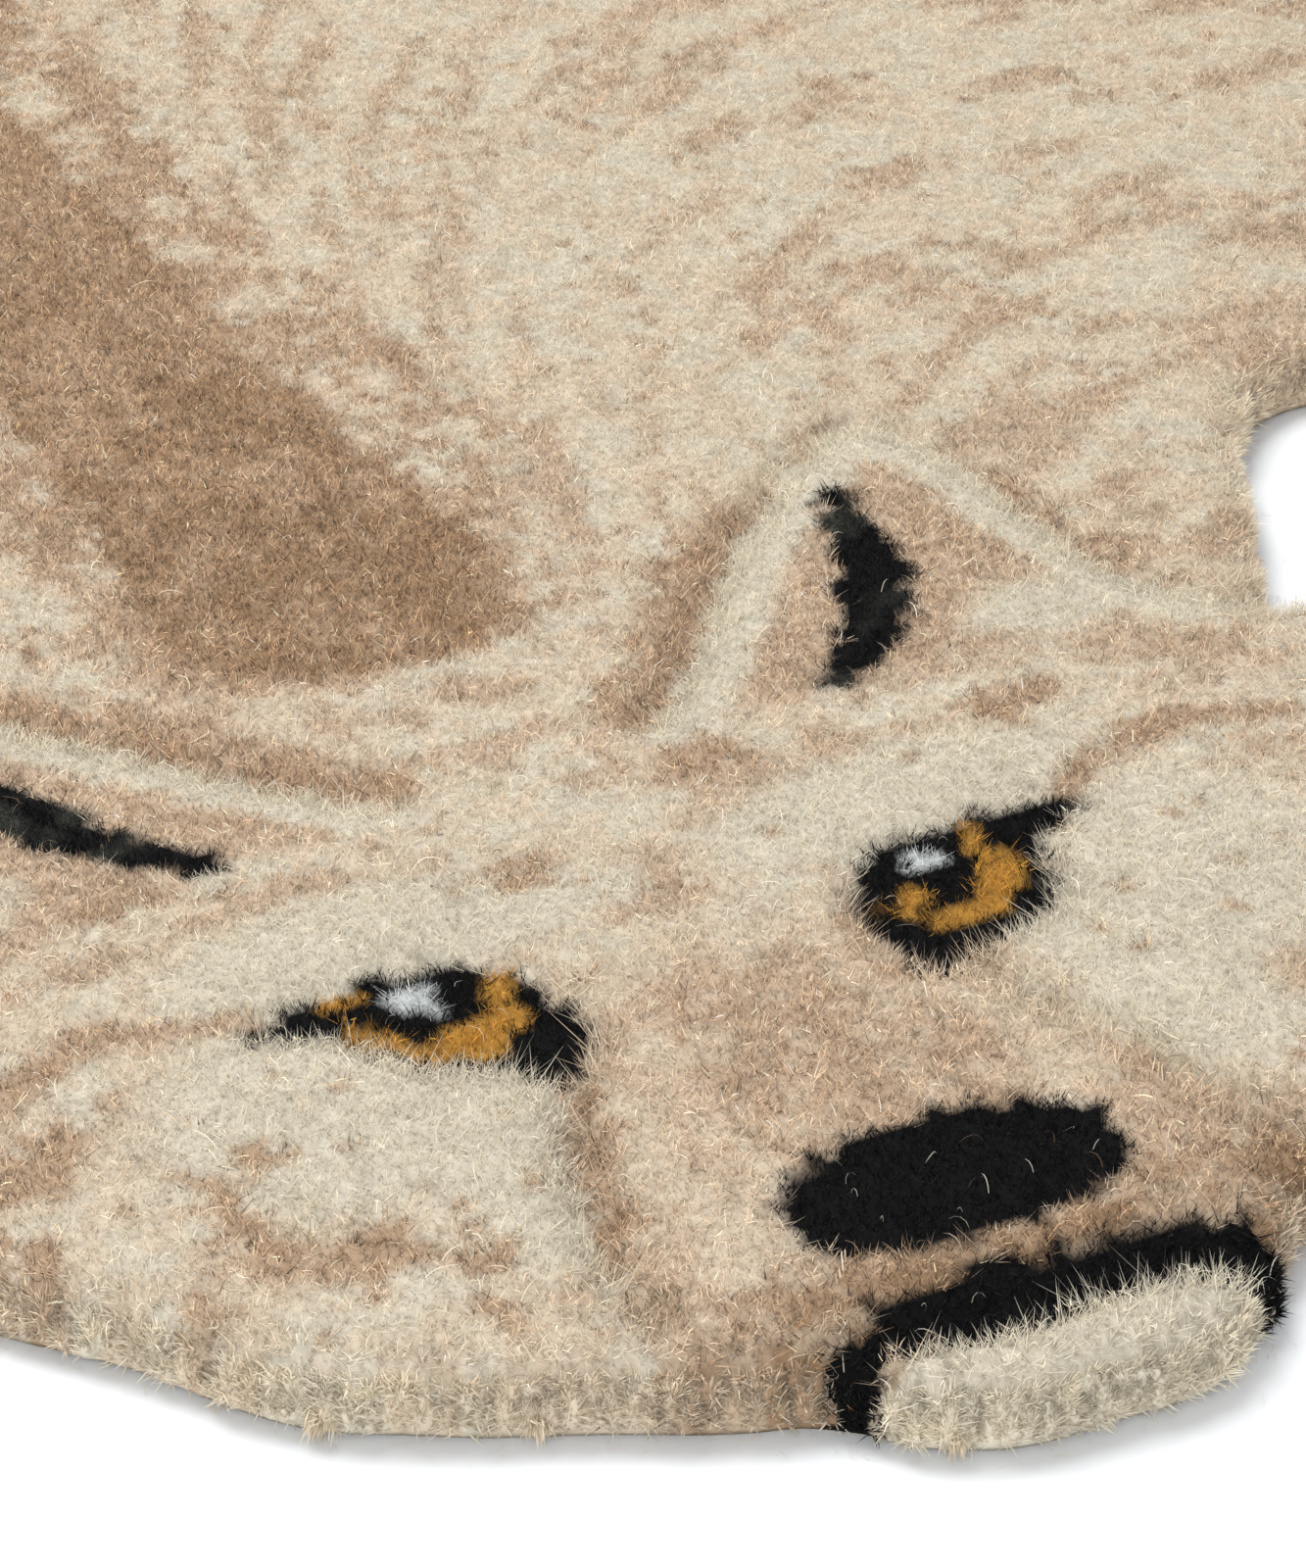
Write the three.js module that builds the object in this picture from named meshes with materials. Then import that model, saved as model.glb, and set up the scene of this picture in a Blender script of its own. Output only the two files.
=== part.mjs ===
// Animal-shaped rug: a hand-tufted wool rug in the form of a big cat lying flat on the floor.
// The tufted cloth and its cut pile are one piece, so the rug is one lumpy slab with a rounded rim.
// The pile is cut lower at the eyes and the mouth, and carved along the muzzle and round the ears.
// Units are millimetres, +Z up. The head points along -Y and the tail along +Y.

import * as THREE from 'three';

// Driving sizes of the rug
const PILE_HEIGHT = 14; // floor to the cut face of the pile
const RUG_LENGTH = 1400; // chin to the tip of the tail
const HEAD_LENGTH = 265; // chin to behind the ears, where the face's finer points end

// Unevenness of a hand-cut rug. Its edge wanders in and out in waves that close round the rug,
// and its face rises and falls in crossed waves, each with its length and the way it runs.
const EDGE_LUMP = 1.1; // how far the tufts of the rim stand unlike each other
const EDGE_WAVES = [
  { count: 23, height: 0.9 },
  { count: 57, height: 0.6 },
  { count: 131, height: 0.5 },
];
const FACE_WAVES = [
  { length: 145, heading: 15, height: 0.3 },
  { length: 118, heading: 100, height: 0.28 },
  { length: 61, heading: 55, height: 0.16 },
  { length: 47, heading: 140, height: 0.14 },
];

// How far apart the model's points stand
const HEAD_EDGE_STEP = 7;
const BODY_EDGE_STEP = 12;
const FEATURE_STEP = 6;
const HEAD_FACE_STEP = 9.5;
const BODY_FACE_STEP = 22;
const RIM_CLEARANCE = 0.62; // least gap from the rim to a point inside it, in steps of the rim
const CUT_ROW_GAP = 2.8; // least gap between points of the cuts' own rows
const FILL_GAP = 0.86; // least gap between points of the rest, in steps of the face

// Half of the rug's outline, from the chin round to the tip of the tail.
// across is the distance from the middle line, along is the distance from the chin.
const HALF_OUTLINE = [
  { across: 0, along: 0, at: 'chin' },
  { across: 12, along: 0.5 },
  { across: 22, along: 4 },
  { across: 31, along: 9.5 },
  { across: 38, along: 18, at: 'corner of the mouth' },
  { across: 50, along: 24.5 },
  { across: 66, along: 32 },
  { across: 84, along: 41 },
  { across: 98, along: 48 },
  { across: 105, along: 57, at: 'front of the cheek' },
  { across: 112, along: 67.5 },
  { across: 122, along: 80 },
  { across: 132, along: 91 },
  { across: 151, along: 111 },
  { across: 167, along: 130 },
  { across: 174, along: 145, at: 'tip of the ruff' },
  { across: 169, along: 156 },
  { across: 154, along: 162 },
  { across: 140, along: 165 },
  { across: 135, along: 170, at: 'notch between the head and the foreleg' },
  { across: 142, along: 179 },
  { across: 149, along: 191 },
  { across: 154, along: 202 },
  { across: 160, along: 213 },
  { across: 168, along: 225 },
  { across: 179, along: 237 },
  { across: 193, along: 242 },
  { across: 214, along: 241, at: 'front of the foreleg' },
  { across: 256, along: 231 },
  { across: 310, along: 228 },
  { across: 362, along: 237 },
  { across: 408, along: 258 },
  { across: 438, along: 288, at: 'forepaw' },
  { across: 447, along: 322 },
  { across: 436, along: 356 },
  { across: 408, along: 382 },
  { across: 372, along: 404 },
  { across: 336, along: 434 },
  { across: 303, along: 470 },
  { across: 272, along: 515 },
  { across: 246, along: 570 },
  { across: 230, along: 640, at: 'waist' },
  { across: 230, along: 712 },
  { across: 245, along: 780 },
  { across: 272, along: 838, at: 'front of the hind leg' },
  { across: 312, along: 888 },
  { across: 356, along: 926 },
  { across: 396, along: 960 },
  { across: 418, along: 1000, at: 'hind paw' },
  { across: 410, along: 1040 },
  { across: 378, along: 1062 },
  { across: 332, along: 1058 },
  { across: 286, along: 1036 },
  { across: 236, along: 1018 },
  { across: 182, along: 1012, at: 'rump' },
  { across: 128, along: 1018 },
  { across: 82, along: 1030 },
  { across: 52, along: 1052, at: 'root of the tail' },
  { across: 40, along: 1096 },
  { across: 36, along: 1170 },
  { across: 37, along: 1260 },
  { across: 36, along: 1342 },
  { across: 26, along: 1382 },
  { across: 0, along: RUG_LENGTH, at: 'tip of the tail' },
];

// The rim's section, from the floor up: the cloth ends a little inside the pile that flares over it.
const RIM_SECTION = [
  { height: 0, out: -2.2 },
  { height: 3.5, out: 0.2 },
  { height: 8.5, out: 0.6 },
  { height: 12.2, out: -1.2 },
  { height: 13.7, out: -4.8 },
];

// Face of the cat, right half: each outline is mirrored for the left.
const EYE = [
  { across: 71, along: 125, at: 'outer corner' },
  { across: 58, along: 129 },
  { across: 44, along: 128 },
  { across: 31, along: 122 },
  { across: 25, along: 112 },
  { across: 26, along: 100 },
  { across: 31, along: 94, at: 'inner corner' },
  { across: 43, along: 99 },
  { across: 54, along: 108 },
  { across: 63, along: 119 },
];
const EAR = [
  { across: 24, along: 179, at: 'inner root' },
  { across: 38, along: 194 },
  { across: 55, along: 215 },
  { across: 76, along: 235 },
  { across: 97, along: 251 },
  { across: 106, along: 248, at: 'tip' },
  { across: 109, along: 227 },
  { across: 109, along: 201 },
  { across: 114, along: 177 },
  { across: 126, along: 163, at: 'outer root' },
];
const MUZZLE_EDGE = [
  { across: 34, along: 91, at: 'below the eye' },
  { across: 39, along: 73 },
  { across: 46, along: 60 },
  { across: 50, along: 47 },
  { across: 53, along: 34, at: 'rim' },
];

// The left ear was cut a little further out and forward than the right one.
const LEFT_EAR_SHIFT = { across: 9, along: -4 };

// The mouth from its left corner to its right one, and the oval nose over it.
const MOUTH = [
  { across: -39, along: 6, at: 'left corner, turned down to the rim' },
  { across: -34, along: 14 },
  { across: -22, along: 17.5 },
  { across: -8, along: 19 },
  { across: 5, along: 21, at: 'middle' },
  { across: 18, along: 20 },
  { across: 27, along: 16 },
  { across: 32, along: 10, at: 'right corner' },
];
const NOSE = { along: 47, halfWidth: 27, halfLength: 12.5, points: 18 };

// Each form cut into the face: how deep, how wide its floor is to each side of its line,
// and how far its wall takes to come up to the pile.
const CUTS = {
  eye: { depth: 3.4, floor: 0, wall: 3.6 },
  ear: { depth: 2.2, floor: 0, wall: 4.4 },
  muzzleEdge: { depth: 2.6, floor: 0, wall: 4.6 },
  mouth: { depth: 3.0, floor: 4.6, wall: 3.4 },
  nose: { depth: 1.2, floor: 0, wall: 3.6 },
};

// Low crowns of longer pile round the face, each an oval that fades to nothing at its edge.
const CROWNS = [
  { at: 'brow', across: 46, along: 140, halfWidth: 34, halfLength: 15, rise: 1.5 },
  { at: 'cheek', across: 70, along: 89, halfWidth: 34, halfLength: 34, rise: 1.7 },
  { at: 'muzzle', across: 0, along: 69, halfWidth: 34, halfLength: 40, rise: 0.9 },
  { at: 'chin', across: 0, along: 7, halfWidth: 26, halfLength: 9, rise: 0.8 },
  { at: 'ear', across: 86, along: 201, halfWidth: 26, halfLength: 40, rise: 0.9 },
];

const SEED = 20417;

// The same row of random numbers each time the rug is made.
function seededRandom(seed) {
  let state = seed;
  return () => {
    state = (state + 0x6d2b79f5) | 0;
    let mixed = Math.imul(state ^ (state >>> 15), 1 | state);
    mixed = (mixed + Math.imul(mixed ^ (mixed >>> 7), 61 | mixed)) ^ mixed;
    return ((mixed ^ (mixed >>> 14)) >>> 0) / 2 ** 32;
  };
}

const random = seededRandom(SEED);

// The soft rise and fall of the face: its crossed waves, added up.
function lumps(x, y) {
  return FACE_WAVES.reduce((sum, { length, heading, height }) => {
    const way = THREE.MathUtils.degToRad(heading);
    const far = x * Math.cos(way) + y * Math.sin(way);
    return sum + height * Math.sin((2 * Math.PI * far) / length + heading);
  }, 0);
}

// How far the edge wanders out after a share of the way round, from 0 to 1.
function edgeWander(share) {
  return EDGE_WAVES.reduce(
    (sum, { count, height }) => sum + height * Math.sin(2 * Math.PI * count * share + count),
    0,
  );
}

const smooth = (t) => THREE.MathUtils.smoothstep(t, 0, 1);
const asPoints = (rows) => rows.map(({ across, along }) => new THREE.Vector3(across, along, 0));

// A smooth line through a table's rows, as points a step apart.
function smoothLine(rows, closed, step) {
  const curve = new THREE.CatmullRomCurve3(asPoints(rows), closed, 'centripetal');
  const points = curve.getSpacedPoints(Math.ceil(curve.getLength() / step));
  if (closed) points.pop();
  return points;
}

function noseRows() {
  return Array.from({ length: NOSE.points }, (_, i) => {
    const turn = (2 * Math.PI * i) / NOSE.points;
    return {
      across: NOSE.halfWidth * Math.cos(turn),
      along: NOSE.along + NOSE.halfLength * Math.sin(turn),
    };
  });
}

const mirrored = (rows) => rows.map((row) => ({ ...row, across: -row.across }));

function leftEarRows() {
  const moved = EAR.map(({ across, along }) => ({
    across: across + LEFT_EAR_SHIFT.across,
    along: along + LEFT_EAR_SHIFT.along,
  }));
  return mirrored(moved);
}

// A form cut into the face, with its line worked out. filled says that all inside the line is cut.
function faceCut(rows, cut, { closed = false, filled = false } = {}) {
  return { ...cut, closed, filled, line: smoothLine(rows, closed, FEATURE_STEP) };
}

function faceCuts() {
  const whole = { closed: true, filled: true };
  return [
    faceCut(EYE, CUTS.eye, whole),
    faceCut(mirrored(EYE), CUTS.eye, whole),
    faceCut(EAR, CUTS.ear),
    faceCut(leftEarRows(), CUTS.ear),
    faceCut(MUZZLE_EDGE, CUTS.muzzleEdge),
    faceCut(mirrored(MUZZLE_EDGE), CUTS.muzzleEdge),
    faceCut(MOUTH, CUTS.mouth),
    faceCut(noseRows(), CUTS.nose, whole),
  ];
}

function distanceToPiece(x, y, a, b) {
  const dx = b.x - a.x;
  const dy = b.y - a.y;
  const part = ((x - a.x) * dx + (y - a.y) * dy) / (dx * dx + dy * dy);
  const t = THREE.MathUtils.clamp(part, 0, 1);
  return Math.hypot(x - a.x - t * dx, y - a.y - t * dy);
}

function distanceToLine(x, y, line, closed) {
  let nearest = Infinity;
  const last = closed ? line.length : line.length - 1;
  for (let i = 0; i < last; i++) {
    nearest = Math.min(nearest, distanceToPiece(x, y, line[i], line[(i + 1) % line.length]));
  }
  return nearest;
}

// Counts how often a ray from the point along +X crosses the closed line.
function isInside(x, y, line) {
  let inside = false;
  line.forEach((a, i) => {
    const b = line[(i + 1) % line.length];
    const spans = a.y > y !== b.y > y;
    if (spans && x < a.x + ((b.x - a.x) * (y - a.y)) / (b.y - a.y)) inside = !inside;
  });
  return inside;
}

// How deep one cut is at a point: its full depth on its floor, then a soft wall.
function cutDepth(x, y, cut) {
  const away = distanceToLine(x, y, cut.line, cut.closed) - cut.floor;
  const onFloor = away <= 0 || (cut.filled && isInside(x, y, cut.line));
  return onFloor ? cut.depth : cut.depth * (1 - smooth(away / cut.wall));
}

function crownRise(x, y, crown) {
  const u = (Math.abs(x) - crown.across) / crown.halfWidth;
  const v = (y - crown.along) / crown.halfLength;
  return crown.rise * (1 - smooth(Math.hypot(u, v)));
}

// Height of the pile's cut face over the floor.
function faceHeight(x, y, cuts) {
  if (y > HEAD_LENGTH) return PILE_HEIGHT + lumps(x, y);
  const rise = CROWNS.reduce((sum, crown) => sum + crownRise(x, y, crown), 0);
  const cut = cuts.reduce((most, form) => Math.max(most, cutDepth(x, y, form)), 0);
  return PILE_HEIGHT + lumps(x, y) + rise - cut;
}

// Points round the rug's edge, closer together round the head, each with its way out.
function rimPlaces() {
  const left = mirrored(HALF_OUTLINE.slice(1, -1)).reverse();
  const rows = [...HALF_OUTLINE, ...left];
  const fine = smoothLine(rows, true, 1);
  const places = [];
  let travelled = Infinity;
  fine.forEach((point, i) => {
    const step = point.y < HEAD_LENGTH ? HEAD_EDGE_STEP : BODY_EDGE_STEP;
    const next = fine[(i + 2) % fine.length];
    const before = fine[(i + fine.length - 2) % fine.length];
    const out = new THREE.Vector2(next.y - before.y, before.x - next.x).normalize();
    const wander = edgeWander(i / fine.length);
    if (travelled >= step && i < fine.length - step / 2) {
      places.push({ x: point.x + out.x * wander, y: point.y + out.y * wander, out });
      travelled = 0;
    }
    travelled += 1;
  });
  return places;
}

// One ring of points round the rim at a row of its section, lumpy where the pile's tufts show.
function rimRing(places, { height, out }) {
  const isFloor = height === 0;
  return places.map((place) => {
    const lump = isFloor ? 0 : EDGE_LUMP * (random() - 0.5);
    const reach = out + lump;
    const rise = isFloor ? 0 : 0.5 * (random() - 0.5) * EDGE_LUMP;
    return new THREE.Vector3(
      place.x + place.out.x * reach,
      place.y + place.out.y * reach,
      height + rise,
    );
  });
}

// How far apart points stand on the rug's face: close beside a cut, wide over the body.
function faceStep(x, y, cuts) {
  if (y > HEAD_LENGTH + BODY_FACE_STEP) return BODY_FACE_STEP;
  if (y > HEAD_LENGTH) return HEAD_FACE_STEP + (y - HEAD_LENGTH) * 0.5;
  const nearest = cuts.reduce(
    (least, cut) => Math.min(least, distanceToLine(x, y, cut.line, cut.closed)),
    Infinity,
  );
  return THREE.MathUtils.clamp(nearest * 0.8, FEATURE_STEP, HEAD_FACE_STEP);
}

// Rows of points that follow one cut: on its line, and where its wall comes up on each side.
function cutRows(cut) {
  const away = cut.floor + cut.wall;
  const offsets = cut.floor > 0 ? [0, cut.floor, -cut.floor, away, -away] : [0, away, -away];
  const { line, closed } = cut;
  return offsets.flatMap((offset) =>
    line.map((point, i) => {
      const next = line[closed ? (i + 1) % line.length : Math.min(i + 1, line.length - 1)];
      const before = line[closed ? (i + line.length - 1) % line.length : Math.max(i - 1, 0)];
      const length = Math.hypot(next.x - before.x, next.y - before.y);
      return new THREE.Vector2(
        point.x + (offset * (next.y - before.y)) / length,
        point.y - (offset * (next.x - before.x)) / length,
      );
    }),
  );
}

// Points over the rug's face. The cuts' own rows come first, then a jittered grid fills the rest.
function facePoints(rim, cuts) {
  const kept = [];
  const cell = BODY_FACE_STEP;
  const cells = new Map();
  const key = (x, y) => `${Math.floor(x / cell)},${Math.floor(y / cell)}`;
  const near = (x, y) =>
    [-1, 0, 1].flatMap((i) =>
      [-1, 0, 1].flatMap((j) => cells.get(key(x + i * cell, y + j * cell)) ?? []),
    );
  const keep = (x, y, gap) => {
    if (!isInside(x, y, rim)) return;
    const neighbours = near(x, y);
    if (neighbours.some((p) => Math.hypot(p.x - x, p.y - y) < gap)) return;
    const edge = y < HEAD_LENGTH ? HEAD_EDGE_STEP : BODY_EDGE_STEP;
    if (distanceToLine(x, y, rim, true) < RIM_CLEARANCE * edge) return;
    const point = new THREE.Vector2(x, y);
    kept.push(point);
    cells.set(key(x, y), [...(cells.get(key(x, y)) ?? []), point]);
  };
  cuts.flatMap(cutRows).forEach((point) => keep(point.x, point.y, CUT_ROW_GAP));
  const pitch = FEATURE_STEP / 2;
  const box = new THREE.Box2().setFromPoints(rim);
  const candidates = [];
  for (let x = box.min.x; x < box.max.x; x += pitch) {
    for (let y = box.min.y; y < box.max.y; y += pitch) {
      candidates.push({ x: x + pitch * random(), y: y + pitch * random(), order: random() });
    }
  }
  candidates.sort((a, b) => a.order - b.order);
  candidates.forEach(({ x, y }) => keep(x, y, FILL_GAP * faceStep(x, y, cuts)));
  return kept;
}

// The circle through a triangle's three corners.
function cornerCircle(points, [a, b, c]) {
  const [p, q, r] = [points[a], points[b], points[c]];
  const d = 2 * (p.x * (q.y - r.y) + q.x * (r.y - p.y) + r.x * (p.y - q.y));
  const [pp, qq, rr] = [p, q, r].map((v) => v.x * v.x + v.y * v.y);
  const x = (pp * (q.y - r.y) + qq * (r.y - p.y) + rr * (p.y - q.y)) / d;
  const y = (pp * (r.x - q.x) + qq * (p.x - r.x) + rr * (q.x - p.x)) / d;
  return { x, y, radius2: (x - p.x) ** 2 + (y - p.y) ** 2 };
}

// Joins flat points into even triangles: each new point reopens the triangles whose circle holds it.
function joinPoints(given) {
  const count = given.length;
  const far = 20 * RUG_LENGTH; // corners of a first triangle that holds the whole rug
  const points = [
    ...given,
    new THREE.Vector2(-far, -far),
    new THREE.Vector2(far, -far),
    new THREE.Vector2(0, far),
  ];
  const first = [count, count + 1, count + 2];
  let triangles = [{ corners: first, circle: cornerCircle(points, first) }];
  const order = given.map((_, i) => i).sort((a, b) => given[a].y - given[b].y);
  for (const i of order) {
    const { x, y } = points[i];
    const open = new Map();
    triangles = triangles.filter(({ corners, circle }) => {
      if ((circle.x - x) ** 2 + (circle.y - y) ** 2 >= circle.radius2) return true;
      corners.forEach((a, k) => {
        const b = corners[(k + 1) % 3];
        if (!open.delete(`${b},${a}`)) open.set(`${a},${b}`, [a, b]);
      });
      return false;
    });
    for (const [a, b] of open.values()) {
      const corners = [a, b, i];
      triangles.push({ corners, circle: cornerCircle(points, corners) });
    }
  }
  return triangles.map(({ corners }) => corners).filter((corners) => Math.max(...corners) < count);
}

// Triangles of the rug's face, without those that bridge its notches.
function faceTriangles(points, rim) {
  return joinPoints(points).filter((corners) => {
    const x = corners.reduce((sum, i) => sum + points[i].x, 0) / 3;
    const y = corners.reduce((sum, i) => sum + points[i].y, 0) / 3;
    return isInside(x, y, rim);
  });
}

function makeRug() {
  const cuts = faceCuts();
  const places = rimPlaces();
  const count = places.length;
  const rings = RIM_SECTION.map((row) => rimRing(places, row));
  const topRing = rings[rings.length - 1];
  const inner = facePoints(topRing, cuts);
  const face = inner.map(({ x, y }) => new THREE.Vector3(x, y, faceHeight(x, y, cuts)));
  const vertices = [...rings.flat(), ...face];
  const topStart = count * (rings.length - 1);

  const triangles = [];
  const floorRing = rings[0].map((p) => new THREE.Vector2(p.x, p.y));
  THREE.ShapeUtils.triangulateShape(floorRing, []).forEach(([a, b, c]) => triangles.push(a, c, b));
  for (let ring = 0; ring < rings.length - 1; ring++) {
    for (let i = 0; i < count; i++) {
      const low = ring * count + i;
      const lowNext = ring * count + ((i + 1) % count);
      triangles.push(low, lowNext, lowNext + count, low, lowNext + count, low + count);
    }
  }
  const flat = vertices.slice(topStart).map((p) => new THREE.Vector2(p.x, p.y));
  faceTriangles(flat, topRing).forEach((corners) =>
    triangles.push(...corners.map((i) => i + topStart)),
  );

  const geometry = new THREE.BufferGeometry().setFromPoints(vertices);
  geometry.setIndex(triangles);
  const box = new THREE.Box3().setFromPoints(vertices);
  const middle = box.getCenter(new THREE.Vector3());
  geometry.translate(-middle.x, -middle.y, 0);
  geometry.computeVertexNormals();
  return geometry;
}

const wool = new THREE.MeshStandardMaterial({ color: 0xcebda5, roughness: 0.95, metalness: 0 });

const rug = new THREE.Mesh(makeRug(), wool);
rug.name = 'tufted_rug';

const part = new THREE.Group();
part.add(rug);

export default part;
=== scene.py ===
# %% [markdown]
# # Animal-shaped kids rug
#
# The real rug is wool yarn shot through one cloth and sheared to an even pile. The cloth is cut in the
# outline of a big cat that lies flat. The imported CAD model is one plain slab. This script puts the pile
# on it: a base surface that keeps the slab's form, and hundreds of thousands of thin wool fibres on it.

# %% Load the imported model
import bpy
import numpy as np
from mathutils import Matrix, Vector
from mathutils.geometry import delaunay_2d_cdt


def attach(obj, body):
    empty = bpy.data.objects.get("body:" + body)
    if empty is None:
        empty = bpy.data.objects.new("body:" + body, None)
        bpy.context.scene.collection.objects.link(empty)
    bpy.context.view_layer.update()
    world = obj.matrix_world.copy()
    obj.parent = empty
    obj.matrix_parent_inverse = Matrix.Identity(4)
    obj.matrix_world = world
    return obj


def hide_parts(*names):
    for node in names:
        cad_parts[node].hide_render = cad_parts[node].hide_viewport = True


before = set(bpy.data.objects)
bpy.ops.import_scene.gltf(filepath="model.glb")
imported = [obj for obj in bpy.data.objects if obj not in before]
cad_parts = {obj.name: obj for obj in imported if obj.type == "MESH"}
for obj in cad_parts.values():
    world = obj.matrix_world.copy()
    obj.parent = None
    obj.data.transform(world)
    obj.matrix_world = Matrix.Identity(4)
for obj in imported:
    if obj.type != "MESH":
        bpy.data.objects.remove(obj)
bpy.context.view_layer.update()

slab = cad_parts["tufted_rug"]

# %% [markdown]
# ## One frame of measure
#
# A rug is drawn from its middle line and its chin, so this script works in millimetres across and along
# the cat. It turns them to Blender's metres only when a mesh is made.

# %% Millimetres from the chin
CHIN_TO_MIDDLE = 700.417  # mm from the chin's line to the middle of the model
PILE_TOP = 14.0  # mm from the floor to the cut face of the pile


def to_metres(points):
    """Across, along and height in millimetres become X, Y and Z in metres."""
    moved = np.asarray(points, float) - (0, CHIN_TO_MIDDLE, 0)
    return moved * 0.001


print("chin at", to_metres((0, 0, PILE_TOP)).round(4))

# %% [markdown]
# ## Unevenness by number
#
# Nothing on a hand-tufted rug is even. Blender has noise textures, but the shape, the yarn and its colour
# have to agree here, so the noise is worked out in numpy and every step reads the same one. A fixed seed
# makes each run the same.

# %% Soft steps and noise
rng = np.random.default_rng(20417)


def smooth(t):
    """The curve 3t^2 - 2t^3, held at 0 below 0 and at 1 above 1."""
    t = np.clip(t, 0, 1)
    return t * t * (3 - 2 * t)


def mix(a, b, share):
    """a where the share is 0, b where it is 1, and on the straight line between them elsewhere."""
    return a + (b - a) * share


def lattice(i, j, seed):
    """A fixed number from 0 to 1 for each pair of whole numbers: their mixed bits read as a fraction."""
    mixed = (i * 374761393 + j * 668265263 + seed * 974634777) & 0xFFFFFFFF
    mixed = ((mixed ^ (mixed >> 13)) * 1274126177) & 0xFFFFFFFF
    return (mixed ^ (mixed >> 16)) / 2**32


def noise(x, y, size, seed):
    """Soft noise from 0 to 1: a fixed number at each corner of a grid, joined by smooth curves."""
    u, v = x / size, y / size
    i, j = np.floor(u).astype(np.int64), np.floor(v).astype(np.int64)
    s, t = smooth(u - i), smooth(v - j)
    low_row = mix(lattice(i, j, seed), lattice(i + 1, j, seed), s)
    high_row = mix(lattice(i, j + 1, seed), lattice(i + 1, j + 1, seed), s)
    return mix(low_row, high_row, t)


print("noise from", noise(np.arange(999.0), np.zeros(999), 3, 1).min().round(3))

# %% [markdown]
# A tufting gun sets one tuft of yarn beside the next, never quite in rows. So the plane is cut into square
# cells and each cell holds one point, moved at random inside it. Every place belongs to the nearest of
# these points. The same tool also makes the thinner locks inside a tuft.


# %% Tufts and locks
def cells(x, y, pitch, seed):
    """The nearest of the points that stand one in each cell of a square grid, each moved at random.

    Gives the way from that point, in mm, and the two whole numbers of its cell."""
    i0, j0 = np.floor(x / pitch).astype(np.int64), np.floor(y / pitch).astype(np.int64)
    best = np.full(x.shape, np.inf)
    away_x, away_y = np.zeros(x.shape), np.zeros(x.shape)
    cell_i, cell_j = np.zeros(x.shape, np.int64), np.zeros(x.shape, np.int64)
    for di in (-1, 0, 1):
        for dj in (-1, 0, 1):
            i, j = i0 + di, j0 + dj
            ax = x - (i + 0.15 + 0.7 * lattice(i, j, seed)) * pitch
            ay = y - (j + 0.15 + 0.7 * lattice(i, j, seed + 1)) * pitch
            far = ax * ax + ay * ay
            nearer = far < best
            best = np.where(nearer, far, best)
            away_x, away_y = np.where(nearer, ax, away_x), np.where(nearer, ay, away_y)
            cell_i, cell_j = np.where(nearer, i, cell_i), np.where(nearer, j, cell_j)
    return away_x, away_y, cell_i, cell_j


TUFT_PITCH = 2.8  # mm from tuft to tuft
LOCK_PITCH = 1.15  # mm from lock to lock in a tuft


def tufts(x, y):
    """The tuft that each place belongs to."""
    return cells(x, y, TUFT_PITCH, 31)


def locks(x, y):
    """The lock that each place belongs to."""
    return cells(x, y, LOCK_PITCH, 35)


print("tufts per square metre", round(1e6 / TUFT_PITCH**2))

# %% [markdown]
# ## Camera
#
# The camera stands low in front of the chin, to the left, and looks down at 31 degrees. Its long lens
# takes in the head, the neck and one shoulder, so the rug runs out of the picture on three sides.

# %% Camera
VIEW_DOWN = 31  # degrees below level
VIEW_ACROSS, VIEW_ALONG = 0.4633, 0.8862  # the way that the camera looks, seen from above
CAMERA_PLACE = (-270.49, -377.51, 377.60)  # mm across, along and up
LENS, SENSOR = 101.25, 36  # mm
SIGHT = 30  # m that the camera sees
camera_data = bpy.data.cameras.new("camera")
camera_data.lens = LENS
camera_data.sensor_width = SENSOR
camera_data.clip_end = SIGHT
camera = bpy.data.objects.new("camera", camera_data)
camera.location = to_metres(CAMERA_PLACE)
tilt = np.radians(VIEW_DOWN)
view = Vector((VIEW_ACROSS * np.cos(tilt), VIEW_ALONG * np.cos(tilt), -np.sin(tilt)))
camera.rotation_euler = view.to_track_quat("-Z", "Y").to_euler()
bpy.context.collection.objects.link(camera)
bpy.context.scene.camera = camera
print("camera at", [round(v, 3) for v in camera.location])

# %% [markdown]
# ## Light and floor
#
# A product photograph of a rug has a white floor that is lit past white and a soft shadow along the rim.
# One big soft box hangs over the rug, one stands in front of it and lights the rim's cut yarns, and a
# white room fills the rest. The Standard view transform keeps white as white.


# %% Soft boxes, room and floor
def soft_box(name, place, target, size, power):
    """A square area light at a place, turned to face a target."""
    data = bpy.data.lights.new(name, "AREA")
    data.size = size
    data.energy = power
    light = bpy.data.objects.new(name, data)
    light.location = place
    light.rotation_euler = (Vector(target) - Vector(place)).to_track_quat("-Z", "Y").to_euler()
    bpy.context.collection.objects.link(light)


HEAD = (0.0, -0.5, 0.0)  # m
soft_box("soft_box_over", (-0.35, 0.25, 1.9), HEAD, size=1.3, power=66)
soft_box("soft_box_front", (-0.9, -2.0, 1.0), HEAD, size=1.5, power=38)

ROOM_LIGHT = 0.78
world = bpy.data.worlds.new("white_room")
bpy.context.scene.world = world
world.use_nodes = True
world.node_tree.nodes["Background"].inputs["Color"].default_value = (1, 1, 1, 1)
world.node_tree.nodes["Background"].inputs["Strength"].default_value = ROOM_LIGHT
bpy.context.scene.view_settings.view_transform = "Standard"

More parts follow.
